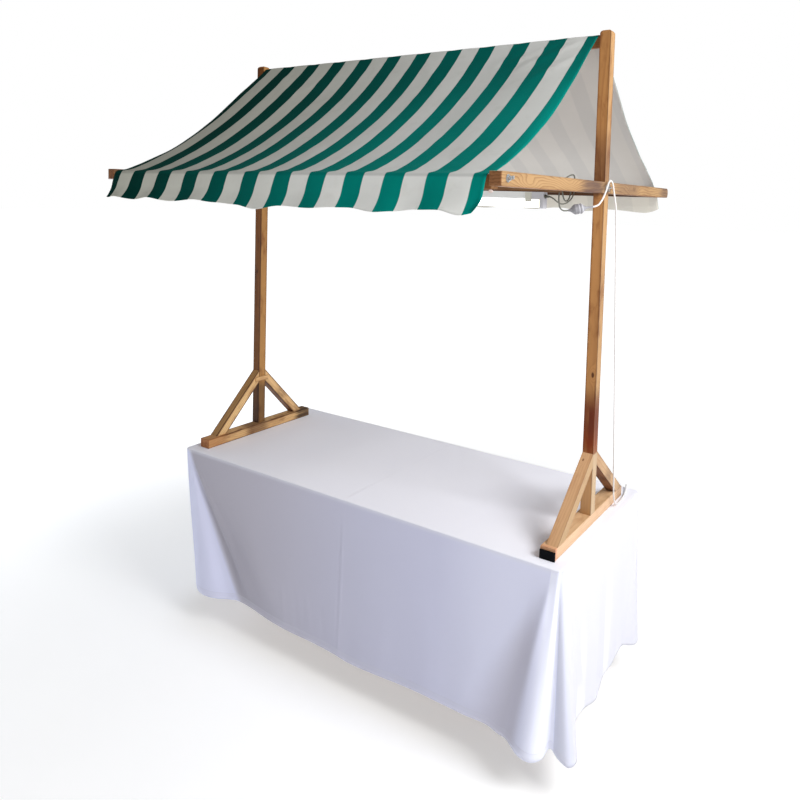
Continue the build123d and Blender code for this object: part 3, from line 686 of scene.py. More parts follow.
def lining_material():
    m = Nodes("canopy_lining")
    p = m.object_co()
    x = m.split(p)[0]
    ph = stripe_phase(m, x)
    green = m.math("SUBTRACT", m.smooth(ph, 0.0, 0.05), m.smooth(ph, 0.455, 0.505))
    cloud = m.noise(p, 4.0, 4.0, 0.55)
    w = m.mix(cloud, (0.53, 0.505, 0.465), (0.61, 0.585, 0.545))
    col = m.mix(m.math("MULTIPLY", green, 0.5), w, (0.47, 0.455, 0.435))
    z = m.split(p)[2]
    # painted shade: the lining is darker up under the ridge
    col = m.mix(m.smooth(z, 2.02, 2.20), col, m.vmath("MULTIPLY", col, (0.84, 0.83, 0.83)))
    # painted light: the valances' lining is brighter, as if lit by the lamp below
    col = m.mix(m.smooth(z, 1.958, 1.948), col, m.vmath("MULTIPLY", col, (1.14, 1.14, 1.08)))
    h = m.noise(p, 900.0, 2.0)
    n1 = m.bump(h, 0.0002, 0.35)
    n2 = m.bump(m.noise(p, 22.0, 3.0, 0.6), 0.0014, 0.5, n1)
    return m.finish(col, m.math("MULTIPLY_ADD", h, 0.1, 0.72), n2, Sheen_Weight=0.08)


# the cloth's line at its ends, from the front valance's hem over the ridge to the back one's
FRONT = [(-806, 1861), (-799, 1868), (-792, 1877), (-786, 1886), (-781, 1895), (-777, 1905), (-774, 1915), (-770, 1926), (-766, 1937), (-762.5, 1946), (-759.5, 1952),
         (-755.5, 1957.5), (-749.5, 1961.6), (-738, 1964.4), (-722, 1967.6), (-706, 1972.3), (-690, 1979), (-670, 1988), (-650, 1997), (-625, 2010), (-600, 2023), (-570, 2039),
         (-540, 2055), (-510, 2073), (-470, 2099), (-430, 2127), (-390, 2155), (-350, 2185), (-310, 2216), (-270, 2249), (-230, 2283), (-200, 2308), (-160, 2343), (-120, 2377),
         (-82, 2411), (-55, 2434), (-35, 2453), (-20, 2466.5), (-12.5, 2474), (-8, 2476.6), (0, 2477.6)]
BACK = [(8, 2476.6), (12.5, 2474), (21, 2466.5), (38, 2451), (60, 2431), (100, 2398), (149, 2360), (190, 2324), (235, 2285), (270, 2256), (310, 2225), (350, 2196), (392, 2168), (440, 2139),
        (485, 2112), (530, 2086), (577, 2060), (615, 2035), (650, 2014), (680, 1996.5), (704, 1980), (722, 1970), (738, 1964.6), (749.5, 1961.6), (755.5, 1957), (760, 1950.5), (763.5, 1941), (767, 1930),
        (773, 1917), (780, 1903), (787, 1888), (795, 1874), (801, 1864)]


def spline_through(pts, step):
    """Points about step apart on a smooth line (centripetal Catmull-Rom) through pts."""
    P = [np.array(p, float) for p in pts]
    P = [2 * P[0] - P[1]] + P + [2 * P[-1] - P[-2]]
    out, idx = [], []
    for i in range(1, len(P) - 2):
        p0, p1, p2, p3 = P[i - 1], P[i], P[i + 1], P[i + 2]
        t0 = 0.0
        t1 = t0 + max(1e-6, np.linalg.norm(p1 - p0)) ** 0.5
        t2 = t1 + max(1e-6, np.linalg.norm(p2 - p1)) ** 0.5
        t3 = t2 + max(1e-6, np.linalg.norm(p3 - p2)) ** 0.5
        n = max(2, int(np.linalg.norm(p2 - p1) / step))
        for k in range(n):
            t = t1 + (t2 - t1) * k / n
            a1 = (t1 - t) / (t1 - t0) * p0 + (t - t0) / (t1 - t0) * p1
            a2 = (t2 - t) / (t2 - t1) * p1 + (t - t1) / (t2 - t1) * p2
            a3 = (t3 - t) / (t3 - t2) * p2 + (t - t2) / (t3 - t2) * p3
            b1 = (t2 - t) / (t2 - t0) * a1 + (t - t0) / (t2 - t0) * a2
            b2 = (t3 - t) / (t3 - t1) * a2 + (t - t1) / (t3 - t1) * a3
            out.append((t2 - t) / (t2 - t1) * b1 + (t - t1) / (t2 - t1) * b2)
            idx.append(i - 1 + k / n)
    out.append(P[-2])
    idx.append(len(P) - 3.0)
    return np.array(out), np.array(idx)


def bumpy(x, pts):
    """Smooth interpolation of (x, value) pairs."""
    xs, ys = zip(*pts)
    x = np.asarray(x, float)
    i = np.clip(np.searchsorted(xs, x) - 1, 0, len(xs) - 2)
    x0, x1 = np.take(xs, i), np.take(xs, i + 1)
    t = np.clip((x - x0) / (x1 - x0), 0, 1)
    t = t * t * (3 - 2 * t)
    return np.take(ys, i) * (1 - t) + np.take(ys, i + 1) * t


def fold(px, py, a, b, w0, w1, amp):
    """A soft ridge of cloth along the segment a-b: its width grows from w0 to w1, and it fades out at both ends."""
    ax, ay = a
    dx, dy = b[0] - ax, b[1] - ay
    L2 = dx * dx + dy * dy
    t = ((px - ax) * dx + (py - ay) * dy) / L2
    d = ((px - ax) * dy - (py - ay) * dx) / math.sqrt(L2)
    w = w0 + (w1 - w0) * np.clip(t, 0, 1)
    ends = np.clip(t / 0.25, 0, 1) * np.clip((1 - t) / 0.25, 0, 1)
    ends = ends * ends * (3 - 2 * ends)
    return amp * np.exp(-((d / w) ** 2)) * ends


def build_canopy():
    line, idx = spline_through(FRONT + BACK, 16.0)
    rows = len(line)
    seg = np.linalg.norm(np.diff(line, axis=0), axis=1)
    s = np.concatenate([[0], np.cumsum(seg)])
    tang = np.gradient(line, axis=0)
    tang /= np.linalg.norm(tang, axis=1)[:, None]
    nrm = np.stack([-tang[:, 1], tang[:, 0]], 1)  # towards the outside
    cols = 207
    X0, X1 = -826.0, 826.0
    xs = np.linspace(X0, X1, cols)
    S, XX = np.meshgrid(s, xs, indexing="ij")
    Y = np.repeat(line[:, 0][:, None], cols, 1)
    Z = np.repeat(line[:, 1][:, None], cols, 1)
    NY = np.repeat(nrm[:, 0][:, None], cols, 1)
    NZ = np.repeat(nrm[:, 1][:, None], cols, 1)
    ridge_s = s[np.argmax(line[:, 1])]
    total = s[-1]
    half = line[:, 0] < 0
    eave_f = s[np.argmin(np.where(half, np.hypot(line[:, 0] + 752, line[:, 1] - 1960), 1e9))]
    eave_b = s[np.argmin(np.where(half, 1e9, np.hypot(line[:, 0] - 752, line[:, 1] - 1960)))]
    D = np.zeros_like(S)
    # between its ends the cloth sags further, and its hemmed ends droop
    ay = np.abs(Y)
    belly = np.interp(ay, [0, 20, 60, 120, 160, 200, 270, 310, 350, 390, 430, 470, 510, 560, 600, 650, 690, 740, 900], [0, 6, 15, 24, 28, 29, 27, 24.5, 22, 19, 17, 14.5, 11.5, 9.5, 8, 5, 2.5, 0, 0])
    tx = np.clip((760 - np.abs(XX)) / 430, 0, 1)
    Z = Z - belly * tx * tx * (3 - 2 * tx)
    droop = np.interp(ay, [0, 150, 200, 310, 412, 508, 598, 650, 700, 900], [0, 0, 3, 8, 10, 8, 4, 1.5, 0, 0])
    te = np.clip((np.abs(XX) - 786) / 38, 0, 1)
    Z = Z - droop * te * te
    # the ridge is caught at each stripe's seam, so it runs in shallow scallops
    near = np.exp(-(((S - ridge_s) / 30) ** 2))
    D += near * 1.6 * np.abs(np.sin(math.pi * (XX + 84) / 147.7))
    # slack between the ridge and the eaves
    for e0, e1, k in ((eave_f, ridge_s, 1.0), (ridge_s, eave_b, -1.0)):
        t = np.clip((S - e0) / (e1 - e0), 0, 1)
        slack = np.sin(math.pi * np.clip(t, 0, 1)) ** 2
        D += slack * (1.6 * np.sin(XX / 118 + S / 210 + k) + 1.0 * np.sin(XX / 61 - S / 160 + 2 * k))
        low = np.exp(-(((t - (0.12 if k > 0 else 0.88)) / 0.10) ** 2))
        D += low * (0.9 * np.sin(XX / 47 + 0.5 * k) + 0.7 * np.sin(XX / 29 + 1.7))
    up = S - ridge_s
    for a, b, w0, w1, amp in (
        ((790, -30), (540, -200), 9, 22, 4.0), ((700, -25), (500, -140), 8, 16, 3.0), ((815, -110), (620, -300), 12, 26, 3.0),
        ((560, -25), (440, -150), 8, 16, 2.0), ((-300, -60), (-560, -260), 14, 30, 2.0), ((100, -50), (330, -290), 16, 34, 1.8),
        ((-700, -40), (-520, -240), 14, 28, 2.0), ((380, -560), (560, -700), 16, 26, 1.6), ((-120, -600), (40, -720), 16, 26, 1.4),
        ((700, 60), (420, 330), 12, 30, 4.5), ((-640, 50), (-380, 300), 12, 28, 4.0), ((60, 60), (-120, 380), 14, 30, 3.5),
        ((620, 500), (420, 700), 14, 24, 3.5), ((-420, 520), (-560, 720), 14, 24, 3.5),
    ):
        D += fold(XX, up, a, b, w0, w1, amp)
    # valances: the hem waves in and out and up and down
    vf = np.clip((eave_f - S) / eave_f, 0, 1)
    vb = np.clip((S - eave_b) / (total - eave_b), 0, 1)
    wf = bumpy(xs, [(-830, 2), (-760, -3), (-640, 5), (-560, -4), (-430, 6), (-300, -3), (-190, 4), (-90, 8), (10, 20), (110, 6), (230, 9), (335, 4), (395, 3), (490, 12), (560, 8), (630, 1), (703, -1), (780, 11), (806, 6), (830, -10)])
    wb = bumpy(-xs, [(-830, -8), (-760, 6), (-600, -4), (-470, 7), (-330, -5), (-190, 6), (-60, -4), (90, 8), (220, -5), (360, 5), (500, -6), (640, 7), (760, -2), (830, -10)])
    of = bumpy(xs, [(-830, 4), (-720, -6), (-610, 5), (-500, -5), (-370, 6), (-250, -4), (-130, 4), (10, -6), (130, 6), (260, -5), (370, 5), (500, -7), (620, 6), (700, -2), (770, -8), (830, 6)])
    ob = bumpy(-xs, [(-830, 5), (-700, -6), (-570, 5), (-440, -5), (-300, 6), (-170, -4), (-40, 5), (110, -6), (240, 5), (390, -5), (520, 6), (650, -5), (830, 5)])
    Z -= (vf ** 1.5) * wf[None, :] + (vb ** 1.5) * wb[None, :]
    Y += (vf ** 1.3) * (of[None, :]) - (vb ** 1.3) * (ob[None, :])
    # rounded corners of the valances, and the flare of their ends
    XX = XX + 13 * (vf ** 1.5) * np.clip((-XX - 690) / 136, 0, 1) ** 2
    endf = np.clip((np.abs(XX) - 800) / 26, 0, 1) ** 2
    Z += endf * (vf ** 3 + vb ** 3) * 7
    # a cord runs in the fold at each eave
    D += 0.6 * np.exp(-(((S - eave_f) / 7) ** 2)) + 0.6 * np.exp(-(((S - eave_b) / 7) ** 2))
    D -= 0.7 * np.exp(-(((S - eave_f + 13) / 6) ** 2)) * (0.6 + 0.4 * np.sin(XX / 23)) + 0.7 * np.exp(-(((S - eave_b - 13) / 6) ** 2)) * (0.6 + 0.4 * np.sin(XX / 19))
    Yo, Zo = Y + NY * D, Z + NZ * D
    # the side edges wander in and out a little
    pull = np.sign(XX) * np.clip((np.abs(XX) - 700) / 126, 0, 1) ** 2 * (1.2 * np.sin(S / 95) + 0.8 * np.sin(S / 41 + 1))
    XX = XX + pull
    th = 1.5
    Yi, Zi = Yo - NY * th, Zo - NZ * th
    outer = np.stack([XX, Yo, Zo], -1).reshape(-1, 3) / 1000
    inner = np.stack([XX, Yi, Zi], -1).reshape(-1, 3) / 1000
    n = rows * cols
    uv = np.stack([np.tile(xs, (rows, 1)), S], -1).reshape(-1, 2) / 1000
    faces, fm = [], []
    for i in range(rows - 1):
        for j in range(cols - 1):
            a = i * cols + j
            faces.append((a, a + 1, a + cols + 1, a + cols))
            fm.append(0)
            faces.append((n + a, n + a + cols, n + a + cols + 1, n + a + 1))
            fm.append(1)
    for i in range(rows - 1):
        a, b = i * cols, (i + 1) * cols
        faces.append((a, b, n + b, n + a)); fm.append(0)
        a, b = a + cols - 1, b + cols - 1
        faces.append((a, n + a, n + b, b)); fm.append(0)
    for j in range(cols - 1):
        faces.append((j, n + j, n + j + 1, j + 1)); fm.append(0)
        a = (rows - 1) * cols + j
        faces.append((a, a + 1, n + a + 1, n + a)); fm.append(0)
    o = new_mesh("canopy_cloth", np.concatenate([outer, inner]), faces, [canopy_material(), lining_material()], fm, True, np.concatenate([uv, uv]))
    print("canopy length", round(total), "rows", rows, "tris", 2 * len(faces))
    return o, total


canopy, canopy_len = build_canopy()
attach(canopy, "root")
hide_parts("canopy_front", "canopy_back", "valance_front", "valance_back")


# --------------------------------------------------------------- tablecloth
def tablecloth_material():
    m = Nodes("tablecloth")
    p = m.object_co()
    u = m.uv()
    h = m.split(u)[1]  # height above the hem, along the cloth
    cloud = m.noise(p, 2.6, 3.0, 0.5)
    fine = m.noise(p, 60.0, 3.0, 0.6)
    col = m.mix(cloud, (0.895, 0.895, 0.985), (0.930, 0.930, 1.0))
    # painted shade: the hanging sides are darker than the top, most of all at the left, where less light reaches them
    px, py, pz = m.split(p)[:3]
    fall_shade = m.math("MULTIPLY", m.smooth(py, TY0 / 1000 + 0.0160, TY0 / 1000 + 0.0260, 1.0, 0.0), m.smooth(pz, 0.7360, 0.7392, 1.0, 0.0))
    fall_shade_colour = m.ramp(m.smooth(px, -0.95, 0.80), [(0.0, (0.53, 0.51, 0.53)), (0.185, (0.60, 0.58, 0.61)), (0.65, (0.698, 0.70, 0.785)), (0.9, (0.745, 0.754, 0.862)), (1.0, (0.885, 0.90, 0.995))])
    # painted light and shade: the cones at the corners are painted paler and bluer as if lit, and the hollows beside
    # them darker as if shaded
    down = m.math("SUBTRACT", 0.74, pz)
    t = m.math("MULTIPLY_ADD", down, -0.59, px)
    hollow_shade = m.math("MULTIPLY", m.smooth(t, -0.89, -0.85), m.smooth(t, -0.80, -0.60, 1.0, 0.0))
    fall_shade_colour = m.mix(m.math("MULTIPLY", hollow_shade, m.smooth(down, 0.12, 0.42)), fall_shade_colour, m.vmath("MULTIPLY", fall_shade_colour, (0.87, 0.87, 0.88)))
    fall_shade_colour = m.mix(m.smooth(t, -0.910, -0.872, 1.0, 0.0), fall_shade_colour, (0.90, 0.92, 1.06))
    q = m.math("DIVIDE", m.math("SUBTRACT", 0.884, px), m.math("ADD", down, 0.02))
    hollow_shade = m.math("MULTIPLY", m.smooth(q, 0.11, 0.19), m.smooth(q, 0.23, 0.58, 1.0, 0.0))
    fall_shade_colour = m.mix(m.math("MULTIPLY", hollow_shade, m.smooth(down, 0.03, 0.30)), fall_shade_colour, m.vmath("MULTIPLY", fall_shade_colour, (0.76, 0.73, 0.71)))
    fall_shade_colour = m.mix(m.smooth(q, 0.02, 0.13, 1.0, 0.0), fall_shade_colour, (1.02, 1.04, 1.09))
    # painted shade: the sides are a little darker just under the table's edge, and a touch darker all over
    fall_shade_colour = m.mix(m.smooth(down, 0.020, 0.001, 0.0, 0.6), fall_shade_colour, (0.92, 0.92, 0.92))
    fall_shade_colour = m.vmath("MULTIPLY", fall_shade_colour, (0.955, 0.955, 0.975))
    col = m.mix(fall_shade, col, m.vmath("MULTIPLY", col, fall_shade_colour))
    # painted shade: the cloth's right end is darkened against the strong light from the right
    col = m.mix(m.smooth(px, TX1 / 1000 - 0.0060, TX1 / 1000 - 0.0010), col, m.vmath("MULTIPLY", col, (0.75, 0.75, 0.765)))
    # turned-up hem: two layers, a row of stitching, and a slightly darker edge
    hem = m.smooth(h, 0.0292, 0.0300, 1.0, 0.0)
    col = m.mix(m.math("MULTIPLY", hem, 0.22), col, (0.70, 0.70, 0.80))
    line = m.math("SUBTRACT", m.smooth(h, 0.0262, 0.0268), m.smooth(h, 0.0274, 0.0280))
    sx = m.math("FRACT", m.math("MULTIPLY", m.split(u)[0], 320.0))
    stitch = m.math("MULTIPLY", line, m.smooth(m.math("ABSOLUTE", m.math("SUBTRACT", sx, 0.5)), 0.30, 0.42, 1.0, 0.0))
    col = m.mix(m.math("MULTIPLY", stitch, 0.5), col, (0.62, 0.62, 0.72))
    w1 = m.node("ShaderNodeTexWave", {"wave_type": "BANDS", "bands_direction": "X", "wave_profile": "SIN"}, Vector=u)
    w1.inputs["Scale"].default_value = 260.0
    w2 = m.node("ShaderNodeTexWave", {"wave_type": "BANDS", "bands_direction": "Y", "wave_profile": "SIN"}, Vector=u)
    w2.inputs["Scale"].default_value = 260.0
    weave = m.math("MULTIPLY", w1.outputs["Fac"], w2.outputs["Fac"])
    hgt = m.math("ADD", m.math("MULTIPLY", hem, 1.0), m.math("MULTIPLY", stitch, -0.9))
    n1 = m.bump(weave, 0.00016, 0.5)
    n2 = m.bump(hgt, 0.0007, 0.6, n1)
    n3 = m.bump(m.noise(p, 13.0, 3.0, 0.55), 0.0028, 0.35, n2)
    n4 = m.bump(fine, 0.0003, 0.4, n3)
    return m.finish(col, m.math("MULTIPLY_ADD", fine, 0.08, 0.70), n4, Sheen_Weight=0.18, Sheen_Roughness=0.4, Sheen_Tint=(1.0, 1.0, 1.0))


T_LO, T_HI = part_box("cloth_top")
CLEAR = 2.6  # the cloth's face stands this far off the board's edge
TX0, TX1, TY0, TY1, TZ = T_LO[0] * 1000 - CLEAR, T_HI[0] * 1000 + CLEAR, T_LO[1] * 1000 - CLEAR, T_HI[1] * 1000 + CLEAR, T_HI[2] * 1000
RC = 15.0  # corner radius of the table top, seen from above


def edge_point(u):
    """Point and outward direction on the table's edge, u in millimetres round it from the front's left corner arc."""
    lx, ly, ar = TX1 - TX0 - 2 * RC, TY1 - TY0 - 2 * RC, math.pi / 2 * RC
    total = 2 * (lx + ly) + 4 * ar
    u = u % total
    if u < lx:
        return (TX0 + RC + u, TY0), (0.0, -1.0)
    u -= lx
    if u < ar:
        t = -math.pi / 2 + u / RC
        return (TX1 - RC + RC * math.cos(t), TY0 + RC + RC * math.sin(t)), (math.cos(t), math.sin(t))
    u -= ar
    if u < ly:
        return (TX1, TY0 + RC + u), (1.0, 0.0)
    u -= ly
    if u < ar:
        t = u / RC
        return (TX1 - RC + RC * math.cos(t), TY1 - RC + RC * math.sin(t)), (math.cos(t), math.sin(t))
    u -= ar
    if u < lx:
        return (TX1 - RC - u, TY1), (0.0, 1.0)
    u -= lx
    if u < ar:
        t = math.pi / 2 + u / RC
        return (TX0 + RC + RC * math.cos(t), TY1 - RC + RC * math.sin(t)), (math.cos(t), math.sin(t))
    u -= ar
    if u < ly:
        return (TX0, TY1 - RC - u), (-1.0, 0.0)
    u -= ly
    t = math.pi + u / RC
    return (TX0 + RC + RC * math.cos(t), TY0 + RC + RC * math.sin(t)), (math.cos(t), math.sin(t))


LX, LY, AR = TX1 - TX0 - 2 * RC, TY1 - TY0 - 2 * RC, math.pi / 2 * RC
U_FL = 0.0                      # front edge starts here, at its left end
U_FR = LX                       # near right corner arc
U_RF = LX + AR                  # right edge, front end
U_RB = U_RF + LY                # far right corner arc
U_BR = U_RB + AR
U_BL = U_BR + LX                # far left corner arc
U_LB = U_BL + AR
U_LF = U_LB + LY                # near left corner arc
U_ALL = U_LF + AR


def fx(x):
    return x - (TX0 + RC)


def ry(y):
    return U_RF + (y - (TY0 + RC))


def bx(x):
    return U_BR + (TX1 - RC - x)


def ly_(y):
    return U_LB + (TY1 - RC - y)


# the hem all round the cloth: (place on the table's edge it hangs from, x, y, z)
HEM = [
    (fx(-893), -765, -403, 136), (fx(-878), -715, -413, 141), (fx(-850), -655, -402, 143), (fx(-800), -600, -379, 146),
    (fx(-700), -556, -371, 152), (fx(-560), -463, -369, 146), (fx(-430), -372, -371, 134), (fx(-290), -257, -372, 128), (fx(-155), -132, -369, 127),
    (fx(-60), -52, -371, 127), (fx(2), 3, -373, 126), (fx(52), 52, -369, 117), (fx(125), 125, -372, 120), (fx(285), 290, -369, 129),
    (fx(395), 401, -372, 137), (fx(485), 487, -369, 134), (fx(575), 575, -371, 136), (fx(690), 672, -369, 138), (fx(760), 715, -371, 128),
    (fx(815), 745, -377, 130), (fx(850), 783, -404, 134), (fx(872), 815, -424, 134), (fx(886), 850, -424, 129),
    (U_FR + 1, 871, -410, 127), (U_FR + 4, 886, -388, 131), (U_FR + 9, 901, -364, 156), (U_FR + 14, 934, -374, 142),
    (U_FR + 19, 966, -370, 127), (U_FR + 23, 978, -352, 125), (ry(-338), 980, -330, 127), (ry(-318), 962, -288, 135), (ry(-270), 935, -238, 136), (ry(-190), 914, -180, 139),
    (ry(-105), 914, -118, 138), (ry(-25), 929, -42, 133), (ry(15), 925, 0, 139), (ry(80), 914, 80, 147), (ry(155), 916, 158, 150),
    (ry(225), 915, 232, 154), (ry(275), 917, 275, 157), (ry(325), 932, 312, 143), (ry(362), 946, 338, 137),
    (ry(380), 948, 372, 134), (U_RB + 4, 940, 396, 132), (U_RB + 9, 919, 402, 158), (U_RB + 14, 914, 424, 140), (U_RB + 19, 896, 444, 128), (U_RB + 23, 868, 446, 128), (bx(886), 838, 434, 132),
    (bx(860), 800, 412, 136), (bx(800), 740, 405, 134), (bx(700), 655, 404, 139), (bx(580), 560, 408, 133), (bx(470), 452, 404, 130), (bx(350), 340, 409, 134),
    (bx(240), 228, 404, 128), (bx(120), 120, 407, 127), (bx(0), 0, 410, 124), (bx(-120), -112, 405, 128), (bx(-240), -232, 409, 131), (bx(-350), -346, 404, 134),
    (bx(-480), -462, 408, 130), (bx(-600), -570, 404, 137), (bx(-720), -668, 407, 133), (bx(-810), -752, 414, 138), (bx(-868), -808, 436, 131), (bx(-892), -846, 450, 127),
    (U_BL + 4, -878, 438, 128), (U_BL + 9, -902, 408, 154), (U_BL + 14, -930, 412, 140), (U_BL + 19, -958, 392, 128), (U_BL + 23, -964, 362, 127), (ly_(372), -952, 330, 132),
    (ly_(345), -930, 285, 138), (ly_(270), -918, 225, 134), (ly_(180), -924, 150, 131), (ly_(90), -917, 75, 134), (ly_(20), -926, 5, 128), (ly_(-50), -918, -70, 132),
    (ly_(-130), -924, -150, 130), (ly_(-200), -917, -220, 130), (ly_(-265), -905, -275, 128), (ly_(-315), -878, -325, 128), (ly_(-340), -840, -362, 128),
    (U_LF + 8, -802, -386, 131),
]


def closed_spline(pts, count):
    """A smooth closed line through pts, each (u, x, y, z), sampled evenly along the hem."""
    P = [np.array(q, float) for q in pts]
    n = len(P)

    def get(i):
        k, r = divmod(i, n)
        q = P[r].copy()
        q[0] += k * U_ALL
        return q

    dense = []
    for i in range(n):
        p0, p1, p2, p3 = get(i - 1), get(i), get(i + 1), get(i + 2)
        t0 = 0.0
        t1 = t0 + max(1e-6, np.linalg.norm((p1 - p0)[1:])) ** 0.5
        t2 = t1 + max(1e-6, np.linalg.norm((p2 - p1)[1:])) ** 0.5
        t3 = t2 + max(1e-6, np.linalg.norm((p3 - p2)[1:])) ** 0.5
        for k in range(24):
            t = t1 + (t2 - t1) * k / 24
            a1 = (t1 - t) / (t1 - t0) * p0 + (t - t0) / (t1 - t0) * p1
            a2 = (t2 - t) / (t2 - t1) * p1 + (t - t1) / (t2 - t1) * p2
            a3 = (t3 - t) / (t3 - t2) * p2 + (t - t2) / (t3 - t2) * p3
            b1 = (t2 - t) / (t2 - t0) * a1 + (t - t0) / (t2 - t0) * a2
            b2 = (t3 - t) / (t3 - t1) * a2 + (t - t1) / (t3 - t1) * a3
            q = (t2 - t) / (t2 - t1) * b1 + (t - t1) / (t2 - t1) * b2
            lin = p1[0] + (p2[0] - p1[0]) * k / 24
            q[0] = lin
            dense.append(q)
    D = np.array(dense + [dense[0] + np.array([U_ALL, 0, 0, 0])])
    d = np.concatenate([[0], np.cumsum(np.linalg.norm(np.diff(D[:, 1:], axis=0), axis=1))])
    s = np.linspace(0, d[-1], count, endpoint=False)
    return np.stack([np.interp(s, d, D[:, i]) for i in range(4)], 1), s, d[-1]


def build_tablecloth():
    N = 860
    hem, s_hem, hem_len = closed_spline(HEM, N)
    U = np.maximum.accumulate(hem[:, 0])
    E = np.array([edge_point(u)[0] for u in U])
    O = np.array([edge_point(u)[1] for u in U])
    H = hem[:, 1:4]
    rings, uvs = [], []
    flat_len = np.full(N, 0.0)
    # top: rings that close in on the middle line
    yc = (TY0 + TY1) / 2
    half = (TY1 - TY0) / 2
    spine = np.stack([np.clip(E[:, 0], TX0 + half, TX1 - half), np.full(N, yc)], 1)
    rr = 5.4
    tops = [0.96, 0.90, 0.82, 0.74, 0.66, 0.58, 0.50, 0.42, 0.34, 0.27, 0.20, 0.14, 0.09, 0.05, 0.025]

    def top_bump(x, y):
        z = 0.0
        z = z + 0.9 * np.exp(-(((x - 24) / 5.5) ** 2)) - 0.5 * np.exp(-(((x - 10) / 12) ** 2))
        z = z + 0.6 * np.exp(-(((x + 432) / 6.0) ** 2)) + 0.5 * np.exp(-(((x - 470) / 6.0) ** 2))
        z = z + 0.5 * np.exp(-(((y - 30) / 6.0) ** 2))
        z = z + fold(x, y, (500, -330), (-60, 120), 10, 22, 0.9) + fold(x, y, (-700, -300), (-200, 260), 12, 24, 0.8) + fold(x, y, (640, 380), (200, 60), 12, 22, 0.8)
        return z

    for f in tops:
        q = E - O * rr
        q = q + (spine - q) * f
        b = top_bump(q[:, 0], q[:, 1]) * np.clip((0.97 - f) / 0.15, 0, 1) * np.clip(f / 0.06, 0, 1)
        rings.append(np.column_stack([q, np.full(N, TZ - 0.02) + b]))
        uvs.append(np.column_stack([q[:, 0] + 3000, q[:, 1] + 1500]) / 1000)
    for k in range(0, 5):
        t = math.pi / 2 * k / 5
        q = E - O * rr * (1 - math.sin(t))
        rings.append(np.column_stack([q, np.full(N, TZ - rr * (1 - math.cos(t)))]))
    start = np.column_stack([E, np.full(N, TZ - rr)])
    rows = 46
    drop = np.linalg.norm(H - start, axis=1)
    top_s = np.interp(U, np.concatenate([U[::1], [U[0] + U_ALL]]), np.concatenate([s_hem, [hem_len]]))
    for k in range(0, rows + 1):
        f = k / rows
        g = f
        q = start + (H - start) * g
        # cloth leaves the edge steeply and swings out lower down, where the folds open
        out = H[:, :2] - start[:, :2]
        swing = (f ** 1.18 - f)
        q[:, :2] += out * swing
        # small slack between the folds
        sag = math.sin(math.pi * f) * 1.0
        wave = 1.0 * np.sin(s_hem / 77.0 + 1.2 * f) + 0.5 * np.sin(s_hem / 41.0 - 2.0 * f)
        q[:, :2] += O * (np.maximum(wave, -1.2) * sag * 0.8)[:, None]
        # a few soft folds that run down across the cloth
        along = U
        px, pz = q[:, 0].copy(), q[:, 2].copy()
        front = (O[:, 1] < -0.5).astype(float)
        d = np.zeros(N)
        for A, B, w0, w1, amp in FRONT_FOLDS:
            d += fold(px, pz, A, B, w0, w1, amp)
        q[:, 1] -= d * front
        py = q[:, 1].copy()
        right = (O[:, 0] > 0.5).astype(float)
        d = np.zeros(N)
        for A, B, w0, w1, amp in RIGHT_FOLDS:
            d += fold(py, pz, A, B, w0, w1, amp)
        q[:, 0] += d * right
        back = (O[:, 1] > 0.5).astype(float)
        d = np.zeros(N)
        for A, B, w0, w1, amp in BACK_FOLDS:
            d += fold(px, pz, A, B, w0, w1, amp)
        q[:, 1] += d * back
        left = (O[:, 0] < -0.5).astype(float)
        d = np.zeros(N)
        for A, B, w0, w1, amp in LEFT_FOLDS:
            d += fold(py, pz, A, B, w0, w1, amp)
        q[:, 0] -= d * left
        rings.append(q)
    nt = len(tops)
    R = np.array(rings)
    ring_count = len(R)
    # cloth map: distance along the hem, height above it
    acc = np.zeros(N)
    vv = np.zeros((ring_count, N))
    for k in range(ring_count - 2, -1, -1):
        acc = acc + np.linalg.norm(R[k + 1] - R[k], axis=1)
        vv[k] = acc
    uv = np.zeros((ring_count, N + 1, 2))
    uv[:, :N, 0] = s_hem[None, :] / 1000
    uv[:, N, 0] = hem_len / 1000
    uv[:, :N, 1] = vv / 1000
    uv[:, N, 1] = vv[:, 0] / 1000
    for k in range(nt):
        uv[k, :N] = uvs[k]
        uv[k, N] = uvs[k][0]
    verts = R.reshape(-1, 3) / 1000
    faces, fuv = [], []
    for k in range(ring_count - 1):
        for j in range(N):
            j2 = (j + 1) % N
            faces.append((k * N + j, (k + 1) * N + j, (k + 1) * N + j2, k * N + j2))
            if k == nt - 1:
                e = np.column_stack([R[k + 1][:, 0] + 3000, R[k + 1][:, 1] + 1500]) / 1000
                fuv.append((uv[k, j], e[j], e[j2], uv[k, j2 if j2 else N]))
            else:
                fuv.append((uv[k, j], uv[k + 1, j], uv[k + 1, j + 1], uv[k, j + 1]))
    faces.append(tuple(range(N)))
    fuv.append(tuple(uv[0, j] for j in range(N)))
    me = bpy.data.meshes.new("tablecloth")
    me.from_pydata([tuple(v) for v in verts], [], faces)
    me.materials.append(tablecloth_material())
    me.polygons.foreach_set("use_smooth", [True] * len(me.polygons))
    lay = me.uv_layers.new(name="cloth")
    lay.data.foreach_set("uv", np.concatenate([np.array(f, np.float32).ravel() for f in fuv]))
    me.update()
    o = bpy.data.objects.new("tablecloth", me)
    COLL.objects.link(o)
    bm = bmesh.new()
    bm.from_mesh(me)
    bmesh.ops.recalc_face_normals(bm, faces=bm.faces)
    if sum(f.normal.z for f in bm.faces if abs(f.normal.z) > 0.9) < 0:
        bmesh.ops.reverse_faces(bm, faces=bm.faces)
    bm.to_mesh(me)
    bm.free()
    mod = o.modifiers.new("thickness", "SOLIDIFY")
    mod.thickness = 0.0012
    mod.offset = -1.0
    print("tablecloth hem", round(hem_len), "faces", len(faces))
    return o


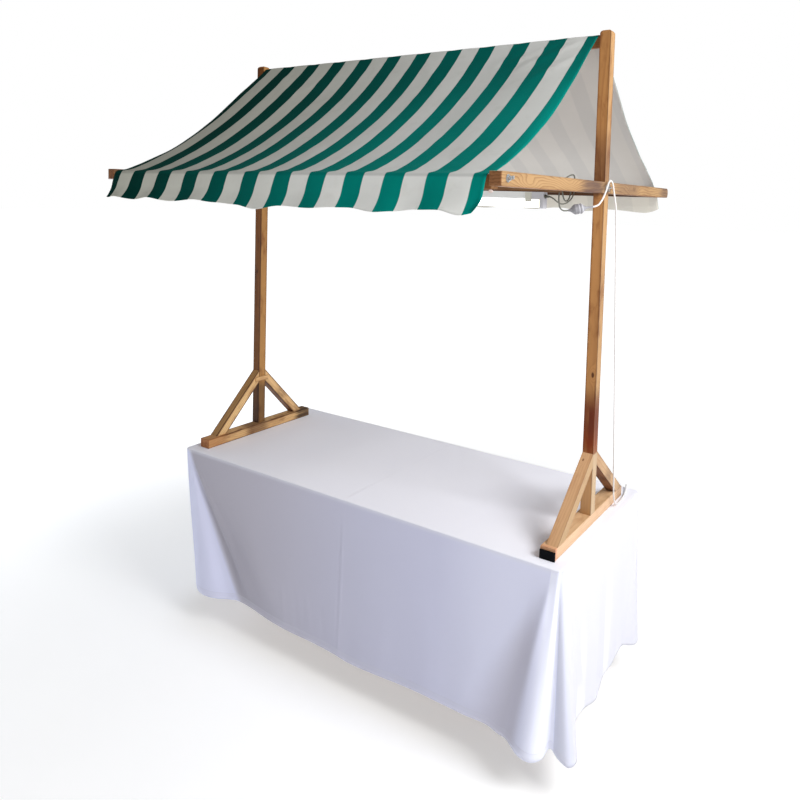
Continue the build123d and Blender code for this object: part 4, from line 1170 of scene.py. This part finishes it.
# soft folds: (start), (end), width at start, width at end, height; the pairs are (along the side, up)
FRONT_FOLDS = [
    ((-895, 732), (-500, 168), 5, 20, -7.5), ((-890, 734), (-640, 112), 10, 40, 5.0), ((-885, 736), (-395, 110), 6, 26, 6.5), ((-868, 738), (-250, 120), 8, 26, 3.0),
    ((-300, 330), (-270, 118), 10, 20, 2.2), ((-230, 330), (-200, 118), 9, 18, -1.8), ((-160, 320), (-130, 118), 10, 22, 2.0), ((-80, 300), (-60, 118), 9, 18, -1.6),
    ((60, 420), (20, 90), 24, 40, 1.6), ((230, 420), (215, 90), 28, 50, 1.8),
    ((430, 460), (440, 90), 28, 50, 1.8), ((620, 460), (600, 90), 26, 50, 2.0), ((22, 742), (12, 90), 3.2, 3.6, 2.2), ((12, 742), (0, 90), 5, 6, -1.6),
    ((890, 730), (775, 140), 8, 32, 4.2),
]
RIGHT_FOLDS = [((-345, 724), (-225, 120), 8, 26, 5.0), ((-330, 728), (-110, 150), 8, 30, 3.0), ((-10, 460), (-45, 90), 18, 40, 3.0), ((388, 724), (300, 120), 8, 26, 5.0), ((18, 745), (12, 90), 4, 5, 1.2), ((160, 380), (150, 90), 18, 36, 2.0)]
BACK_FOLDS = [((895, 724), (700, 120), 8, 30, 5.0), ((-895, 724), (-690, 120), 8, 30, 5.0), ((300, 400), (330, 90), 24, 44, 2.2), ((-240, 380), (-220, 90), 24, 44, 2.2), ((560, 360), (580, 90), 24, 44, 2.0), ((-480, 360), (-500, 90), 24, 44, 2.0), ((24, 745), (12, 90), 3.5, 4.5, 1.4)]
LEFT_FOLDS = [((388, 724), (250, 120), 8, 28, 5.0), ((-340, 724), (-180, 120), 8, 28, 4.0), ((20, 745), (14, 90), 4, 5, 1.2), ((-80, 400), (-60, 90), 24, 40, 2.2)]

tablecloth = build_tablecloth()
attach(tablecloth, "root")
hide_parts("cloth_top", "cloth_front", "cloth_back", "cloth_left", "cloth_right")


# ------------------------------------------------------------ floor and light
def floor():
    me = bpy.data.meshes.new("floor")
    r = 60.0
    me.from_pydata([(-r, -r, 0), (r, -r, 0), (r, r, 0), (-r, r, 0)], [], [(0, 1, 2, 3)])
    m = Nodes("pale_floor")
    n = m.noise(m.object_co(), 3.0, 3.0)
    far = m.vmath("LENGTH", m.vmath("MULTIPLY", m.object_co(), (1.0, 1.0, 0.0)))
    m.finish(m.mix(n, (0.78, 0.78, 0.78), (0.82, 0.82, 0.82)), 0.9, Emission_Color=(1.0, 1.0, 1.0))
    m.put(m.bsdf.inputs["Emission Strength"], m.smooth(far, 1.0, 4.5, 0.38, 0.88))
    me.materials.append(m.mat)
    o = bpy.data.objects.new("floor", me)
    COLL.objects.link(o)


floor()


def world():
    w = bpy.data.worlds.new("studio")
    w.use_nodes = True
    t = w.node_tree
    t.nodes.clear()
    out = t.nodes.new("ShaderNodeOutputWorld")
    seen = t.nodes.new("ShaderNodeBackground")
    seen.inputs["Color"].default_value = (1, 1, 1, 1)
    seen.inputs["Strength"].default_value = 1.0
    lit = t.nodes.new("ShaderNodeBackground")
    lit.inputs["Color"].default_value = (0.97, 0.985, 1.0, 1)
    # brighter from the right than from the left, like a room with its windows on one side
    co = t.nodes.new("ShaderNodeTexCoord")
    dot = t.nodes.new("ShaderNodeVectorMath")
    dot.operation = "DOT_PRODUCT"
    dot.inputs[1].default_value = (0.84, 0.22, 0.48)
    side = t.nodes.new("ShaderNodeMapRange")
    side.interpolation_type = "SMOOTHSTEP"
    side.inputs["From Min"].default_value = -0.7
    side.inputs["From Max"].default_value = 0.9
    side.inputs["To Min"].default_value = 0.10
    side.inputs["To Max"].default_value = 0.44
    t.links.new(co.outputs["Generated"], dot.inputs[0])
    t.links.new(dot.outputs["Value"], side.inputs["Value"])
    t.links.new(side.outputs["Result"], lit.inputs["Strength"])
    path = t.nodes.new("ShaderNodeLightPath")
    mixn = t.nodes.new("ShaderNodeMixShader")
    t.links.new(path.outputs["Is Camera Ray"], mixn.inputs[0])
    t.links.new(lit.outputs[0], mixn.inputs[1])
    t.links.new(seen.outputs[0], mixn.inputs[2])
    t.links.new(mixn.outputs[0], out.inputs["Surface"])
    scene.world = w


world()
scene.view_settings.view_transform = "Standard"


def area_light(name, at, aim, size, watts, color=(1, 1, 1), size_y=None):
    data = bpy.data.lights.new(name, "AREA")
    data.energy = watts
    data.color = color
    data.size = size
    if size_y:
        data.shape = "RECTANGLE"
        data.size_y = size_y
    o = bpy.data.objects.new(name, data)
    o.location = at
    o.rotation_euler = (Vector(aim) - Vector(at)).to_track_quat("-Z", "Y").to_euler()
    COLL.objects.link(o)
    return o


area_light("key", (3.4, -0.5, 3.3), (0.5, 0.0, 1.1), 1.8, 135)
area_light("left_fill", (-4.7, -0.1, 1.1), (-0.9, -0.1, 0.5), 2.2, 60, (0.80, 0.88, 1.0))
